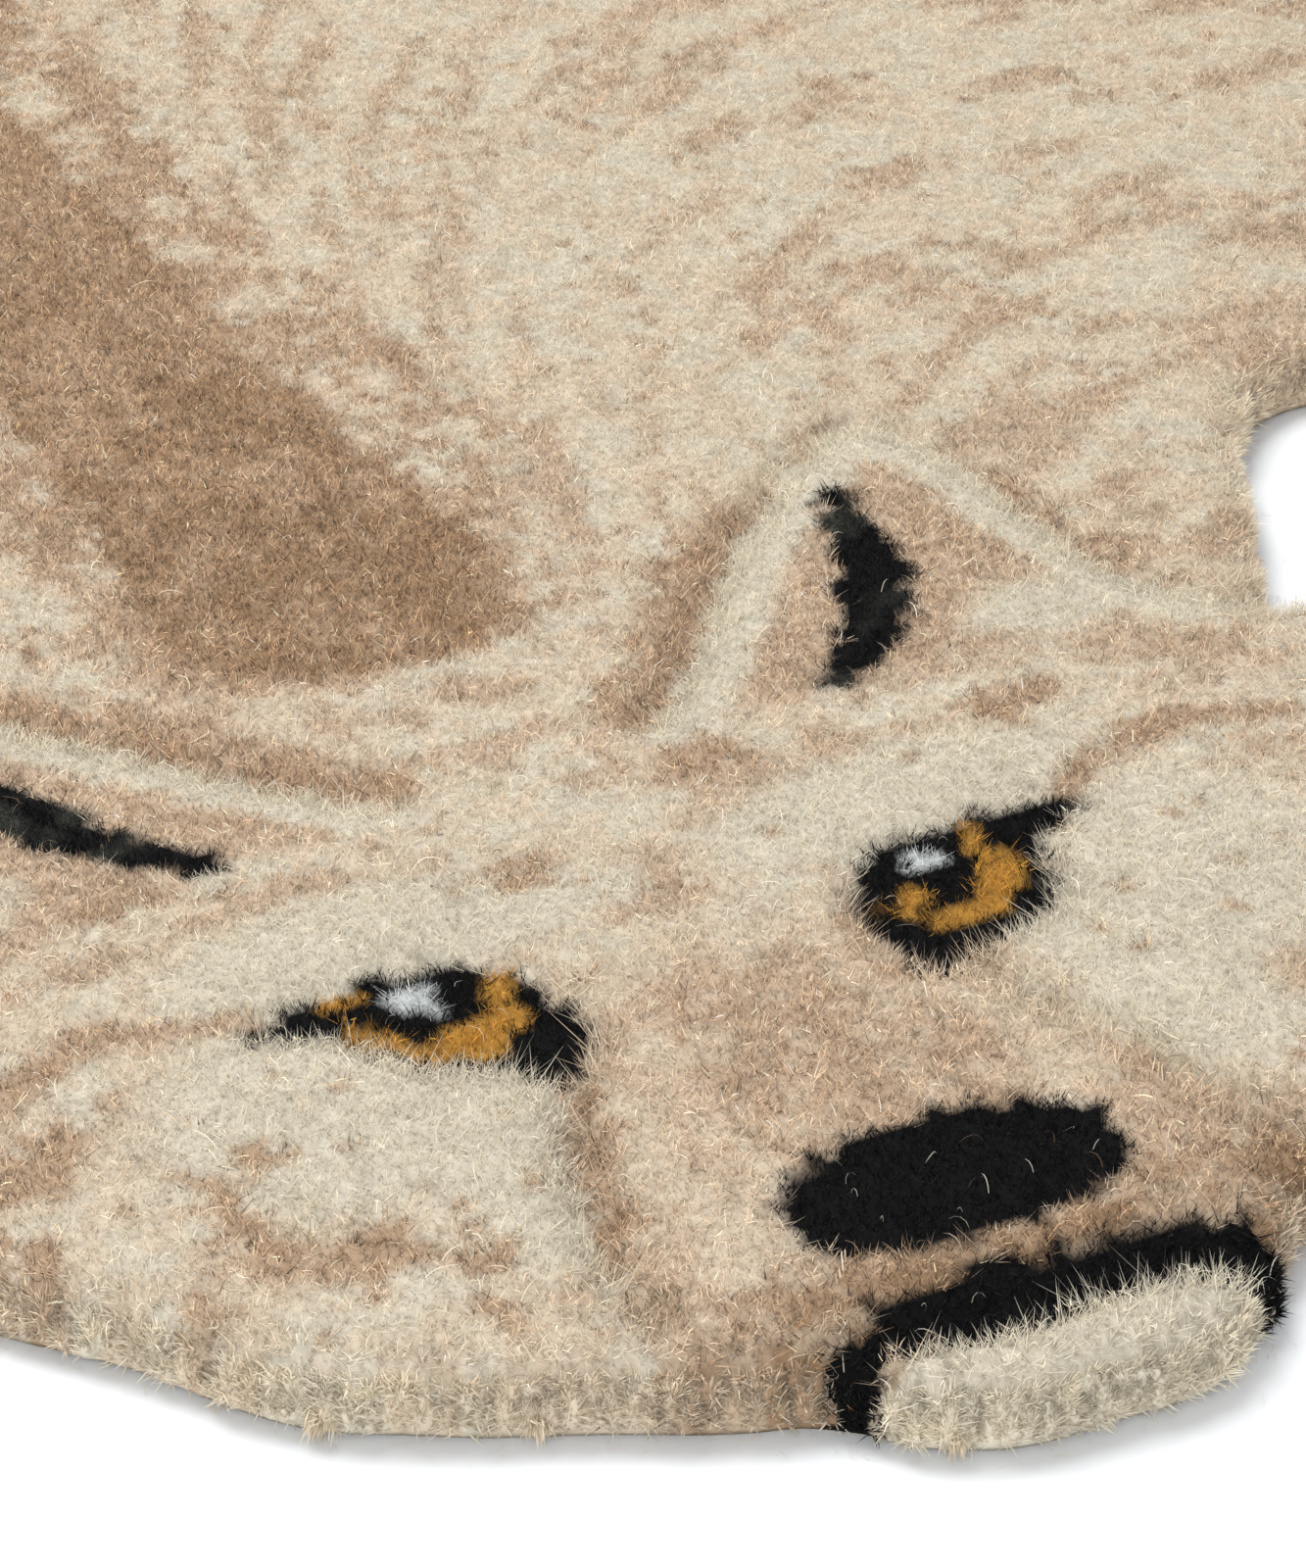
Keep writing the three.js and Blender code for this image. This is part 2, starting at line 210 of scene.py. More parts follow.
FLOOR_HALF, FLOOR_DROP = 4, -0.0003  # m
floor_mesh = bpy.data.meshes.new("floor")
floor_corners = [(-FLOOR_HALF, -FLOOR_HALF, FLOOR_DROP), (FLOOR_HALF, -FLOOR_HALF, FLOOR_DROP),
                 (FLOOR_HALF, FLOOR_HALF, FLOOR_DROP), (-FLOOR_HALF, FLOOR_HALF, FLOOR_DROP)]
floor_mesh.from_pydata(floor_corners, [], [(0, 1, 2, 3)])
floor = bpy.data.objects.new("floor", floor_mesh)
bpy.context.collection.objects.link(floor)
print("lights", [light.name for light in bpy.data.lights])

# %% [markdown]
# ## Materials
#
# A material is a small graph of nodes. Three helpers keep it short: one turns a paint chip's hex colour
# to the linear numbers that Blender mixes, one makes a material, and one adds a node with its links.


# %% Material helpers
def linear(hex_colour):
    """An sRGB hex colour as three linear numbers."""
    parts = np.array([int(hex_colour[i:i + 2], 16) for i in (1, 3, 5)]) / 255
    return np.where(parts <= 0.04045, parts / 12.92, ((parts + 0.055) / 1.055) ** 2.4)


def new_material(name, roughness, specular, **settings):
    """A material with one Principled shader, and that shader's own constant settings."""
    material = bpy.data.materials.new(name)
    material.use_nodes = True
    shader = material.node_tree.nodes["Principled BSDF"]
    shader.inputs["Roughness"].default_value = roughness
    shader.inputs["Specular IOR Level"].default_value = specular
    for socket, value in settings.items():
        shader.inputs[socket.replace("_", " ")].default_value = value
    return material, material.node_tree, shader


def add_node(tree, kind, settings=None, links=None):
    """Adds a node, sets its settings or sockets, and joins the given outputs to its inputs."""
    node = tree.nodes.new(kind)
    for name, value in (settings or {}).items():
        if isinstance(name, str) and hasattr(node, name):
            setattr(node, name, value)
        else:
            node.inputs[name].default_value = value
    for socket, output in (links or {}).items():
        tree.links.new(output, node.inputs[socket])
    return node


floor_paint, tree, shader = new_material("white_studio_floor", 0.9, 0.1)
shader.inputs["Base Color"].default_value = (*linear("#bec0c2"), 1)
floor_mesh.materials.append(floor_paint)
print("materials", [material.name for material in bpy.data.materials])

# %% [markdown]
# Wool is dyed in the fibre and spun, and then the pile is cut. A thin wool fibre lets much of the light
# through, so a tuft glows softly and has no hard shadows. Half of this shader therefore reflects, and
# half is translucent. Its colour comes from an attribute, because each fibre has a dye of its own; that
# colour also carries painted shade and light.

# %% Cut wool fibre
wool, tree, shader = new_material("cut_wool_fibre", 0.85, 0.08, Sheen_Weight=0.08, Sheen_Roughness=0.5)
yarn = add_node(tree, "ShaderNodeAttribute", {"attribute_name": "yarn"})
tree.links.new(yarn.outputs["Color"], shader.inputs["Base Color"])
through = add_node(tree, "ShaderNodeBsdfTranslucent", None, {"Color": yarn.outputs["Color"]})
TRANSLUCENT_SHARE = 0.5
both = add_node(tree, "ShaderNodeMixShader", {"Fac": TRANSLUCENT_SHARE})
tree.links.new(shader.outputs["BSDF"], both.inputs[1])
tree.links.new(through.outputs["BSDF"], both.inputs[2])
tree.links.new(both.outputs["Shader"], tree.nodes["Material Output"].inputs["Surface"])
print("fibre", len(tree.nodes), "nodes")

# %% [markdown]
# Between the fibres the eye meets the roots of the tufts: dense, matt and shaded. They are on the base
# surface. Away from the head that surface is seen more, so its shader breaks it up into tufts as well,
# with a Voronoi pattern of the tuft's pitch and finer noise of the locks. The Voronoi pattern paints
# shade and light: each tuft is lighter in its middle and darker towards its edge.

# %% Wool tuft roots
base_wool, tree, shader = new_material("wool_tuft_roots", 0.9, 0.1)
yarn = add_node(tree, "ShaderNodeAttribute", {"attribute_name": "yarn"})
place = add_node(tree, "ShaderNodeTexCoord")
tuft_cells = add_node(tree, "ShaderNodeTexVoronoi", {"Scale": 1000 / TUFT_PITCH},
                      {"Vector": place.outputs["Object"]})
lock_noise = add_node(tree, "ShaderNodeTexNoise", {"Scale": 1000 / LOCK_PITCH, "Detail": 1.0},
                      {"Vector": place.outputs["Object"]})
# Painted shade and light: the colour runs from 1.08 in a tuft's middle to 0.8 at its edge.
tuft_edge_shade = add_node(tree, "ShaderNodeMapRange", {"To Min": 1.08, "To Max": 0.8},
                     {"Value": tuft_cells.outputs["Distance"]})
lock_tone = add_node(tree, "ShaderNodeMapRange", {"To Min": 0.82, "To Max": 1.18},
                     {"Value": lock_noise.outputs["Fac"]})
tone = add_node(tree, "ShaderNodeMath", {"operation": "MULTIPLY"},
                {0: tuft_edge_shade.outputs["Result"], 1: lock_tone.outputs["Result"]})
toned = add_node(tree, "ShaderNodeVectorMath", {"operation": "SCALE"},
                 {"Vector": yarn.outputs["Color"], "Scale": tone.outputs["Value"]})
tree.links.new(toned.outputs["Vector"], shader.inputs["Base Color"])
bump = add_node(tree, "ShaderNodeBump", {"Strength": 0.6, "Distance": 0.0006},
                {"Height": tone.outputs["Value"]})
tree.links.new(bump.outputs["Normal"], shader.inputs["Normal"])
print("roots", len(tree.nodes), "nodes")

# %% [markdown]
# The back of a tufted rug is a plain cotton cloth, glued on. Nothing of it shows but its edge. It is drawn
# as two sets of threads that cross at a right angle, 1.6 mm apart, with the gaps between them darker.

# %% Woven cotton backing
THREAD_PITCH = 1.6  # mm from thread to thread
backing, tree, shader = new_material("woven_cotton_backing", 0.9, 0.1)
place = add_node(tree, "ShaderNodeTexCoord")
thread_settings = {"Scale": 1000 / THREAD_PITCH / np.pi / 2, "Distortion": 0.6, "Detail": 1.0}
threads = [add_node(tree, "ShaderNodeTexWave", {"bands_direction": way, **thread_settings},
                    {"Vector": place.outputs["Object"]}) for way in ("X", "Y")]
weave = add_node(tree, "ShaderNodeMath", {"operation": "MULTIPLY"},
                 {0: threads[0].outputs["Fac"], 1: threads[1].outputs["Fac"]})
GAP_COLOUR, THREAD_COLOUR = (*linear("#b3a78f"), 1), (*linear("#d9d0bd"), 1)
cloth = add_node(tree, "ShaderNodeMix", {"data_type": "RGBA", 6: GAP_COLOUR, 7: THREAD_COLOUR},
                 {0: weave.outputs["Value"]})
tree.links.new(cloth.outputs[2], shader.inputs["Base Color"])
bump = add_node(tree, "ShaderNodeBump", {"Strength": 0.5, "Distance": 0.0003},
                {"Height": weave.outputs["Value"]})
tree.links.new(bump.outputs["Normal"], shader.inputs["Normal"])
print("backing", len(tree.nodes), "nodes")

# %% [markdown]
# ## The face's drawing
#
# The maker draws the face on the cloth, tufts it, and carves the pile along the lines with small shears.
# Each form is a short list of points, across and along in millimetres, joined by a smooth curve. A band
# such as the mouth has a third number, its half width. The left ear mirrors the right one, moved a
# little. The eyes and the edges of the muzzle differ from side to side, so they have a list each.

# %% Outlines of the face
RIGHT_EYE = np.array([(69, 126), (57, 128.5), (44, 129), (33, 127.5), (26, 122), (22, 112), (21.5, 103),
                      (26, 94), (34, 98), (44, 99.5), (52, 104), (56, 112), (60, 120)], float)
LEFT_EYE = np.array([(-76, 124.5), (-65, 120), (-58, 112), (-53, 105), (-46, 102), (-39, 95), (-31, 100),
                     (-28, 108), (-31, 118), (-38, 126), (-50, 129.5), (-64, 128)], float)
EAR = np.array([(22, 180), (37, 196), (54, 217), (75, 239), (98, 258), (109, 254), (114, 232),
                (114, 204), (118, 183), (132, 164)], float)
RIGHT_MUZZLE_EDGE = np.array([(31, 92), (36, 80), (41, 68), (45, 52), (48, 36)], float)
LEFT_MUZZLE_EDGE = np.array([(-40, 95), (-44, 82), (-49, 68), (-53, 52), (-54, 39)], float)
MOUTH = np.array([(-43, 8, 1.8), (-38, 12, 2.4), (-33, 17.5, 2.6), (-26, 22, 3.2), (-17, 20.5, 4.6),
                  (-6, 20, 5.6), (6, 20.5, 6.0), (17, 19, 5.4), (26, 16, 5.0), (30, 12.5, 3.2)], float)
LEFT_EAR_MOVE = (9, -4)  # mm outward and along, against the mirrored right ear
LEFT_EAR = (EAR + LEFT_EAR_MOVE) * (-1, 1)
NOSE_MIDDLE, NOSE_HALF, NOSE_POWER = (-1.5, 46), (27, 14.5), 0.85


def smooth_line(rows, closed, step=3.0):
    """A Catmull-Rom curve through the rows, as rows about a step apart."""
    if closed:
        before, start, end, after = rows, np.roll(rows, -1, 0), np.roll(rows, -2, 0), np.roll(rows, -3, 0)
    else:
        first, last = 2 * rows[:1] - rows[1:2], 2 * rows[-1:] - rows[-2:-1]
        padded = np.vstack([first, rows, last])
        before, start, end, after = padded[:-3], padded[1:-2], padded[2:-1], padded[3:]
    count = max(2, int(np.ceil(np.linalg.norm(end - start, axis=1).max() / step)))
    t = (np.arange(count) / count)[None, :, None]
    p0, p1, p2, p3 = (p[:, None, :] for p in (before, start, end, after))
    curve = 0.5 * (2 * p1 + (p2 - p0) * t + (2 * p0 - 5 * p1 + 4 * p2 - p3) * t**2
                   + (3 * p1 - p0 - 3 * p2 + p3) * t**3)
    line = curve.reshape(-1, rows.shape[1])
    return line if closed else np.vstack([line, rows[-1:]])


turns = np.linspace(0, 2 * np.pi, 36, endpoint=False)
# A little squarer than an oval: its cosine and sine are raised to a power under 1.
round_turns = (np.cos(turns), np.sin(turns))
nose = np.column_stack([middle + half * np.sign(turn) * np.abs(turn) ** NOSE_POWER
                        for middle, half, turn in zip(NOSE_MIDDLE, NOSE_HALF, round_turns)])
eyes = [smooth_line(RIGHT_EYE, True), smooth_line(LEFT_EYE, True)]
ears = [smooth_line(EAR, False), smooth_line(LEFT_EAR, False)]
muzzle_edges = [smooth_line(RIGHT_MUZZLE_EDGE, False), smooth_line(LEFT_MUZZLE_EDGE, False)]
mouth = smooth_line(MOUTH, False)
print("outlines", len(eyes) + len(ears) + len(muzzle_edges) + 2)

# %% [markdown]
# Every form is then asked one question at every point: how far is it to the line, and on which side of it
# does the point lie? The loops here go over the few pieces of a line, and numpy does all points at once.


# %% Distances
def beside(x, y, line):
    """Distance from an open line: above 0 to the left of the way it runs, and below 0 to the right."""
    best = np.full(x.shape, np.inf)
    left = np.ones(x.shape)
    for (ax, ay), (bx, by) in zip(line[:-1], line[1:]):
        dx, dy = bx - ax, by - ay
        t = np.clip(((x - ax) * dx + (y - ay) * dy) / (dx * dx + dy * dy + 1e-12), 0, 1)
        far = (x - ax - t * dx) ** 2 + (y - ay - t * dy) ** 2
        nearer = far < best
        best = np.where(nearer, far, best)
        left = np.where(nearer, np.where(dx * (y - ay) - dy * (x - ax) > 0, 1, -1), left)
    return np.sqrt(best) * left


def inside(x, y, line):
    """True where a ray to the right crosses the closed line an odd number of times."""
    odd = np.zeros(x.shape, bool)
    for (ax, ay), (bx, by) in zip(line, np.roll(line, -1, 0)):
        if ay != by:
            spans = (ay > y) != (by > y)
            odd ^= spans & (x < ax + (bx - ax) * (y - ay) / (by - ay))
    return odd


def outside(x, y, line):
    """Distance out of a closed line, below 0 inside it."""
    return np.where(inside(x, y, line), -1, 1) * np.abs(beside(x, y, np.vstack([line, line[:1]])))


def band(x, y, rows):
    """Distance out of a band given by its middle line and half width, below 0 inside it."""
    best = np.full(x.shape, np.inf)
    for (ax, ay, aw), (bx, by, bw) in zip(rows[:-1], rows[1:]):
        dx, dy = bx - ax, by - ay
        t = np.clip(((x - ax) * dx + (y - ay) * dy) / (dx * dx + dy * dy + 1e-12), 0, 1)
        best = np.minimum(best, np.hypot(x - ax - t * dx, y - ay - t * dy) - mix(aw, bw, t))
    return best


def oval(x, y, centre, half, edge=0.4):
    """1 in the middle of an oval and 0 outside it, with a soft edge that is a share of its half width."""
    far = np.hypot((x - centre[0]) / half[0], (y - centre[1]) / half[1])
    return 1 - smooth((far - 1 + edge / 2) / edge)


at_nose = np.zeros(1), np.full(1, float(NOSE_MIDDLE[1]))
print("nose is", round(float(-outside(*at_nose, nose)[0]), 1), "mm from middle to edge")

# %% [markdown]
# ## The cut face of the pile
#
# The pile's top is nearly flat. It swells a little at the brows, the cheeks, the muzzle and the ears. The
# eyes and the mouth were tufted lower, and a groove was carved along the muzzle and round each ear. The
# side of a groove next to the cheek or the ear is steep, and the other side is shaved off softly.

# %% Crowns and carved cuts
FACE_WAVES = [(145, 15, 0.3), (118, 100, 0.28), (61, 55, 0.16), (47, 140, 0.14)]  # length, heading, height
CROWNS = [((46, 140), (34, 15), 1.5), ((70, 89), (34, 34), 1.7), ((0, 69), (34, 40), 0.9),
          ((0, 7), (26, 9), 0.8), ((86, 201), (26, 40), 0.9)]  # middle, half sizes, rise
EYE_DEPTH, MOUTH_DEPTH, NOSE_DEPTH = 3.4, 3.0, 0.6
MUZZLE_GROOVE, EAR_GROOVE = 2.6, 2.2
STEEP, SOFT = 1.4, 5.0  # mm that a steep and a soft wall take to come up to the pile


def waves(x, y):
    """The face's rise and fall: sine waves that cross each other, added up."""
    return sum(h * np.sin(2 * np.pi * (x * np.cos(np.radians(a)) + y * np.sin(np.radians(a))) / n + a)
               for n, a, h in FACE_WAVES)


def cut(away, depth, wall):
    """Full depth up to the line, then a smooth wall up to the pile."""
    return depth * (1 - smooth(away / wall))


def eye_depth(y):
    """An eye's floor is deep at the cheek and rises towards the brow."""
    return EYE_DEPTH * mix(1, 0.3, smooth((y - 106) / 20))


def mouth_depth(y):
    """The mouth's floor is deep at the chin and rises towards the nose."""
    return MOUTH_DEPTH * mix(1, 0.25, smooth((y - 14) / 11))


def groove(x, y, line, depth, steep_side):
    """A groove along a line, steep on one side of it (1 left, -1 right) and soft on the other."""
    side = beside(x, y, line) * steep_side
    return cut(np.abs(side), depth, np.where(side > 0, STEEP, SOFT))


def face_height(x, y):
    """Height of the pile's cut face: waves and crowns, less the deepest of the cuts."""
    height = PILE_TOP + waves(x, y)
    for (cx, cy), (rx, ry), rise in CROWNS:
        height = height + rise * (1 - smooth(np.hypot((np.abs(x) - cx) / rx, (y - cy) / ry)))
    cuts = [cut(outside(x, y, eye), eye_depth(y), STEEP) for eye in eyes]
    cuts += [groove(x, y, ears[0], EAR_GROOVE, -1), groove(x, y, ears[1], EAR_GROOVE, 1)]
    cuts += [groove(x, y, muzzle_edges[0], MUZZLE_GROOVE, 1)]
    cuts += [groove(x, y, muzzle_edges[1], MUZZLE_GROOVE, -1)]
    cuts += [cut(band(x, y, mouth), mouth_depth(y), STEEP), cut(outside(x, y, nose), NOSE_DEPTH, STEEP)]
    return height - np.max(cuts, axis=0)


# %% [markdown]
# Over half a million fibres would ask for these distances again and again. So they are worked out once,
# on a chart of the head with a point each millimetre, and read off the chart by the two nearest rows and
# columns. A second chart holds the lowest height near each point, for what lies under the fibres.

# %% Chart of the head
CHART_STEP = 1.0  # mm
CHART_ACROSS, CHART_LOW, CHART_HIGH = 230, -15, 289  # mm that the chart reaches
CHART_MARGIN = 1  # mm at its edge that isn't read
chart_x = np.arange(-CHART_ACROSS, CHART_ACROSS + 1, CHART_STEP)
chart_y = np.arange(CHART_LOW, CHART_HIGH + 1, CHART_STEP)
grid_x, grid_y = np.meshgrid(chart_x, chart_y)
chart = face_height(grid_x, grid_y)
ROOM = 2  # chart steps round a point in which the low chart looks for a lower one
padded = np.pad(chart, ROOM, mode="edge")
low_chart = np.min([padded[i:i + chart.shape[0], j:j + chart.shape[1]]
                    for i in range(2 * ROOM + 1) for j in range(2 * ROOM + 1)], axis=0)


def read_height(x, y, heights):
    """Height read off a chart between its four nearest points, and only the waves outside the chart."""
    u = np.clip((x - chart_x[0]) / CHART_STEP, 0, len(chart_x) - 1.001)
    v = np.clip((y - chart_y[0]) / CHART_STEP, 0, len(chart_y) - 1.001)
    i, j = u.astype(int), v.astype(int)
    s, t = u - i, v - j
    low_row = mix(heights[j, i], heights[j, i + 1], s)
    high_row = mix(heights[j + 1, i], heights[j + 1, i + 1], s)
    read = mix(low_row, high_row, t)
    on_chart = ((np.abs(x) < CHART_ACROSS - 2 * CHART_MARGIN) & (y < CHART_HIGH - CHART_MARGIN)
                & (y > CHART_LOW + CHART_MARGIN))
    return np.where(on_chart, read, PILE_TOP + waves(x, y))


print("face from", chart.min().round(2), "to", chart.max().round(2), "mm high")

# %% [markdown]
# ## Where the pile is made fibre by fibre
#
# The whole rug would take tens of millions of fibres. The camera sees the part inside these four corners,
# so the fibres are thin and dense there. Elsewhere they are broad and few, over a base that is itself
# coloured and lumpy. The two fade into each other.

# %% The close-up region
CLOSE_UP = np.array([(-156, 28), (4, -56), (320, 400), (40, 552)], float)
FADE = 14  # mm


def closeness(x, y):
    """1 inside the region, fading to 0 a little outside it."""
    return 1 - smooth(outside(x, y, CLOSE_UP) / FADE)


print("closeness at the nose", closeness(*at_nose)[0])

# %% [markdown]
# ## The outline
#
# The slab carries the cat's outline, so it is read off the slab: a floor edge that belongs to one triangle
# only is on the rim. The edges are followed round from the tail, and then walked in even steps along a
# smooth curve. The steps are fine near the camera, where single yarns of the rim show.


# %% Follow the slab's rim
def floor_ring(obj):
    """The slab's outline on the floor: edges that only one floor triangle has, followed round once."""
    mesh = obj.data
    points = np.empty(len(mesh.vertices) * 3)
    mesh.vertices.foreach_get("co", points)
    mesh.calc_loop_triangles()
    corners = np.empty(len(mesh.loop_triangles) * 3, np.int64)
    mesh.loop_triangles.foreach_get("vertices", corners)
    microns = np.round(points.reshape(-1, 3) * 1e6).astype(np.int64)
    merged, same = np.unique(microns, axis=0, return_inverse=True)
    triangles = same.ravel()[corners].reshape(-1, 3)
    triangles = triangles[(merged[triangles][..., 2] < 10).all(axis=1)]
    edges = np.vstack([triangles[:, [0, 1]], triangles[:, [1, 2]], triangles[:, [2, 0]]])
    size = len(merged)
    alone = ~np.isin(edges[:, 0] * size + edges[:, 1], edges[:, 1] * size + edges[:, 0])
    follows = dict(edges[alone])
    ring = [edges[alone][0, 0]]
    while follows[ring[-1]] != ring[0]:
        ring.append(follows[ring[-1]])
    return merged[ring][:, :2] * 1e-3 + (0, CHIN_TO_MIDDLE)


def walk(line, step_at):
    """Points round a closed smooth curve, with a step that changes from place to place."""
    fine = smooth_line(line, True, 0.5)
    run = np.linalg.norm(np.roll(fine, -1, 0) - fine, axis=1)
    passed = np.concatenate([[0], np.cumsum(run / step_at(fine[:, 0], fine[:, 1]))])
    count = int(round(passed[-1]))
    wanted = np.arange(count) * passed[-1] / count
    looped = np.vstack([fine, fine[:1]])
    return np.column_stack([np.interp(wanted, passed, looped[:, k]) for k in (0, 1)])


def outward(line, reach):
    """The way out of an anticlockwise ring: its direction over some points, turned by 90 degrees."""
    run = np.roll(line, -reach, 0) - np.roll(line, reach, 0)
    way = np.column_stack([run[:, 1], -run[:, 0]])
    return way / np.linalg.norm(way, axis=1)[:, None]


NEAR_RIM_STEP, FAR_RIM_STEP = 0.75, 5.0  # mm


def rim_step(x, y):
    """Fine steps near the camera, coarse ones elsewhere."""
    return mix(FAR_RIM_STEP, NEAR_RIM_STEP, closeness(x, y))


ring = floor_ring(slab)
doubled_area = np.sum(ring[:, 0] * np.roll(ring[:, 1], -1) - np.roll(ring[:, 0], -1) * ring[:, 1])
ring = ring if doubled_area > 0 else ring[::-1]
ring = np.roll(ring, -int(np.argmax(ring[:, 1])), 0)
edge = walk(ring, rim_step)
out = outward(edge, 3)
edge_length = np.linalg.norm(np.roll(edge, -1, 0) - edge, axis=1)
edge_passed = np.concatenate([[0], np.cumsum(edge_length)])

# %% [markdown]
# ## The rim
#
# At the rim the yarns are seen from the side: bundles about 3 mm wide and 6 mm tall that stand beside each
# other over the cloth's edge and open like brushes. The section is a list of heights and ways out. Each
# place on it belongs to a bundle, and the surface swells in the middle of the bundle.

# %% Rings of the rim
RIM_ROWS = np.array([(0.1, -0.6), (1.1, 0.0), (2.3, 0.3), (3.6, 0.5), (4.9, 0.5), (6.2, 0.2), (7.5, -0.2),
                     (8.7, -0.9), (9.8, -1.8), (10.7, -3.0), (11.3, -4.4), (11.7, -6.2)])  # height, way out
ROW_TOP = 11.7
BUNDLE_PITCH, BUNDLE_SQUASH = 2.7, 0.42  # mm along the rim, and how much taller than wide a bundle is
FIBRE_REACH, FAR_REACH = 1.3, 1.0  # mm that the fibres stand over the base, near and elsewhere


def bundles(along_rim, height):
    """The bundle of yarn that each place on the rim belongs to."""
    return cells(along_rim, height * BUNDLE_SQUASH, BUNDLE_PITCH, 91)


def base_height(x, y, near):
    """Height of the base: the pile's own height, or the low chart's where fibres are made one by one."""
    return mix(read_height(x, y, chart) - FAR_REACH, read_height(x, y, low_chart) - FIBRE_REACH, near)


near_edge = closeness(edge[:, 0], edge[:, 1])
rings = []
for height, way_out in RIM_ROWS:
    row_height = np.full(len(edge), height)
    off_s, off_z, bundle_i, bundle_j = bundles(edge_passed[:-1], row_height)
    swell = 0.75 * (1 - (off_s**2 + off_z**2) / 1.6**2) + 0.7 * (lattice(bundle_i, bundle_j, 12) - 0.5)
    fringe = smooth((height - 0.3) / 1.5) * (1 - smooth((height - 9.5) / 2))
    wander = 1.1 * (noise(edge[:, 0], edge[:, 1], 9.0, 13) - 0.5) * (height > 0.5)
    far_fill = (1 - near_edge) * 1.6 * min(height / 5, 1)
    flat = edge + out * (way_out + near_edge * fringe * swell + wander + far_fill)[:, None]
    top = base_height(flat[:, 0], flat[:, 1], near_edge)
    lift = row_height / ROW_TOP * top if height > 1 else row_height
    rings.append(np.column_stack([flat, lift]))
top_ring = rings[-1][:, :2]
print("rim", len(rings), "rings of", len(edge))

# %% [markdown]
# ## Filling the face and the back
#
# Inside the rim, the face is a net of even triangles: rows of points, every second one moved by half a
# step. Blender's Delaunay call joins them with the rim's points. It fills the whole convex hull, so the
# triangles outside the outline are taken out again by where their middles lie.


# %% Points and triangles
def even_points(pitch, low_corner, high_corner):
    """Rows of points with every second row moved half a step, so that they form even triangles."""
    rows = np.arange(low_corner[1], high_corner[1], pitch * 0.866)
    columns = np.arange(low_corner[0], high_corner[0], pitch)
    x, y = np.meshgrid(columns, rows)
    x = x + (np.arange(len(rows)) % 2)[:, None] * pitch / 2
    return np.column_stack([x.ravel(), y.ravel()])


def keep_inside(points, boundary, gaps):
    """The points inside a closed line and further from its corners than their gap."""
    is_in = inside(points[:, 0], points[:, 1], boundary)
    kept, kept_gaps = points[is_in], gaps[is_in]
    nearest = np.full(len(kept), np.inf)
    for corner in boundary:
        nearest = np.minimum(nearest, ((kept - corner) ** 2).sum(axis=1))
    return kept[np.sqrt(nearest) > kept_gaps]


def fill(boundary, points):
    """Triangles between a closed line and the points inside it. Keeps the numbers of the given points."""
    everything = np.vstack([boundary, points])
    loop = list(range(len(boundary)))
    result = delaunay_2d_cdt([Vector(p) for p in everything], [], [loop], 1, 1e-7, True)
    number = np.array([origin[0] for origin in result[3]])
    triangles = number[np.array(result[2])]
    middle = everything[triangles].mean(axis=1)
    return triangles[inside(middle[:, 0], middle[:, 1], boundary)]


NEAR_PITCH, HEAD_PITCH, BODY_PITCH, BACK_PITCH = 2.8, 3.8, 6.0, 30.0
low_corner, high_corner = top_ring.min(0), top_ring.max(0)
inner, gaps = [], []
for pitch in (NEAR_PITCH, HEAD_PITCH, BODY_PITCH):
    points = even_points(pitch, low_corner, high_corner)
    near = closeness(points[:, 0], points[:, 1]) > 0.3
    head = ~near & (points[:, 1] < CHART_HIGH - CHART_MARGIN)
    chosen = {NEAR_PITCH: near, HEAD_PITCH: head, BODY_PITCH: ~near & ~head}[pitch]
    inner.append(points[chosen])
    gaps.append(np.full(chosen.sum(), 0.5 * pitch))
inner = keep_inside(np.vstack(inner), top_ring, np.concatenate(gaps))
top_triangles = fill(top_ring, inner)
floor_inner = even_points(BACK_PITCH, low_corner, high_corner)
floor_inner = keep_inside(floor_inner, edge, np.full(len(floor_inner), BACK_PITCH / 2))
floor_triangles = fill(rings[0][:, :2], floor_inner)
print("face", len(top_triangles), "triangles, back", len(floor_triangles))

# %% [markdown]
# The rings, the face and the back are then numbered as one list of points, so that the mesh closes with
# no seam. Each triangle has to face outward: its corners run anticlockwise seen from outside.

# %% One closed surface
near_inner = closeness(inner[:, 0], inner[:, 1])
tuft_x, tuft_y, _, _ = cells(inner[:, 0], inner[:, 1], 1.6 * BODY_PITCH, 31)
bulge = 0.5 * (1 - near_inner) * (1 - (tuft_x**2 + tuft_y**2) / 6.0**2)
inner_top = base_height(inner[:, 0], inner[:, 1], near_inner) + bulge
count = len(edge)
face_start = len(rings) * count
back_start = face_start + len(inner)
points = np.vstack(rings + [np.column_stack([inner, inner_top]),
                            np.column_stack([floor_inner, np.full(len(floor_inner), RIM_ROWS[0, 0])])])
along = np.arange(count)
walls = []
for row in range(len(rings) - 1):
    a, b = row * count + along, row * count + np.roll(along, -1)
    walls += [np.column_stack([a, b, b + count]), np.column_stack([a, b + count, a + count])]
walls = np.vstack(walls)
last_ring = face_start - count
face = np.where(top_triangles < count, top_triangles + last_ring, top_triangles - count + face_start)
back = np.where(floor_triangles < count, floor_triangles, floor_triangles - count + back_start)


def facing(triangles, up):
    """Turns each triangle so that it faces up, or down."""
    a, b, c = (points[triangles[:, k]][:, :2] for k in (0, 1, 2))
    spin = (b[:, 0] - a[:, 0]) * (c[:, 1] - a[:, 1]) - (c[:, 0] - a[:, 0]) * (b[:, 1] - a[:, 1])
    wrong = (spin > 0) != up
    return np.where(wrong[:, None], triangles[:, ::-1], triangles)


face, back = facing(face, True), facing(back, False)
triangles = np.vstack([walls, face, back])


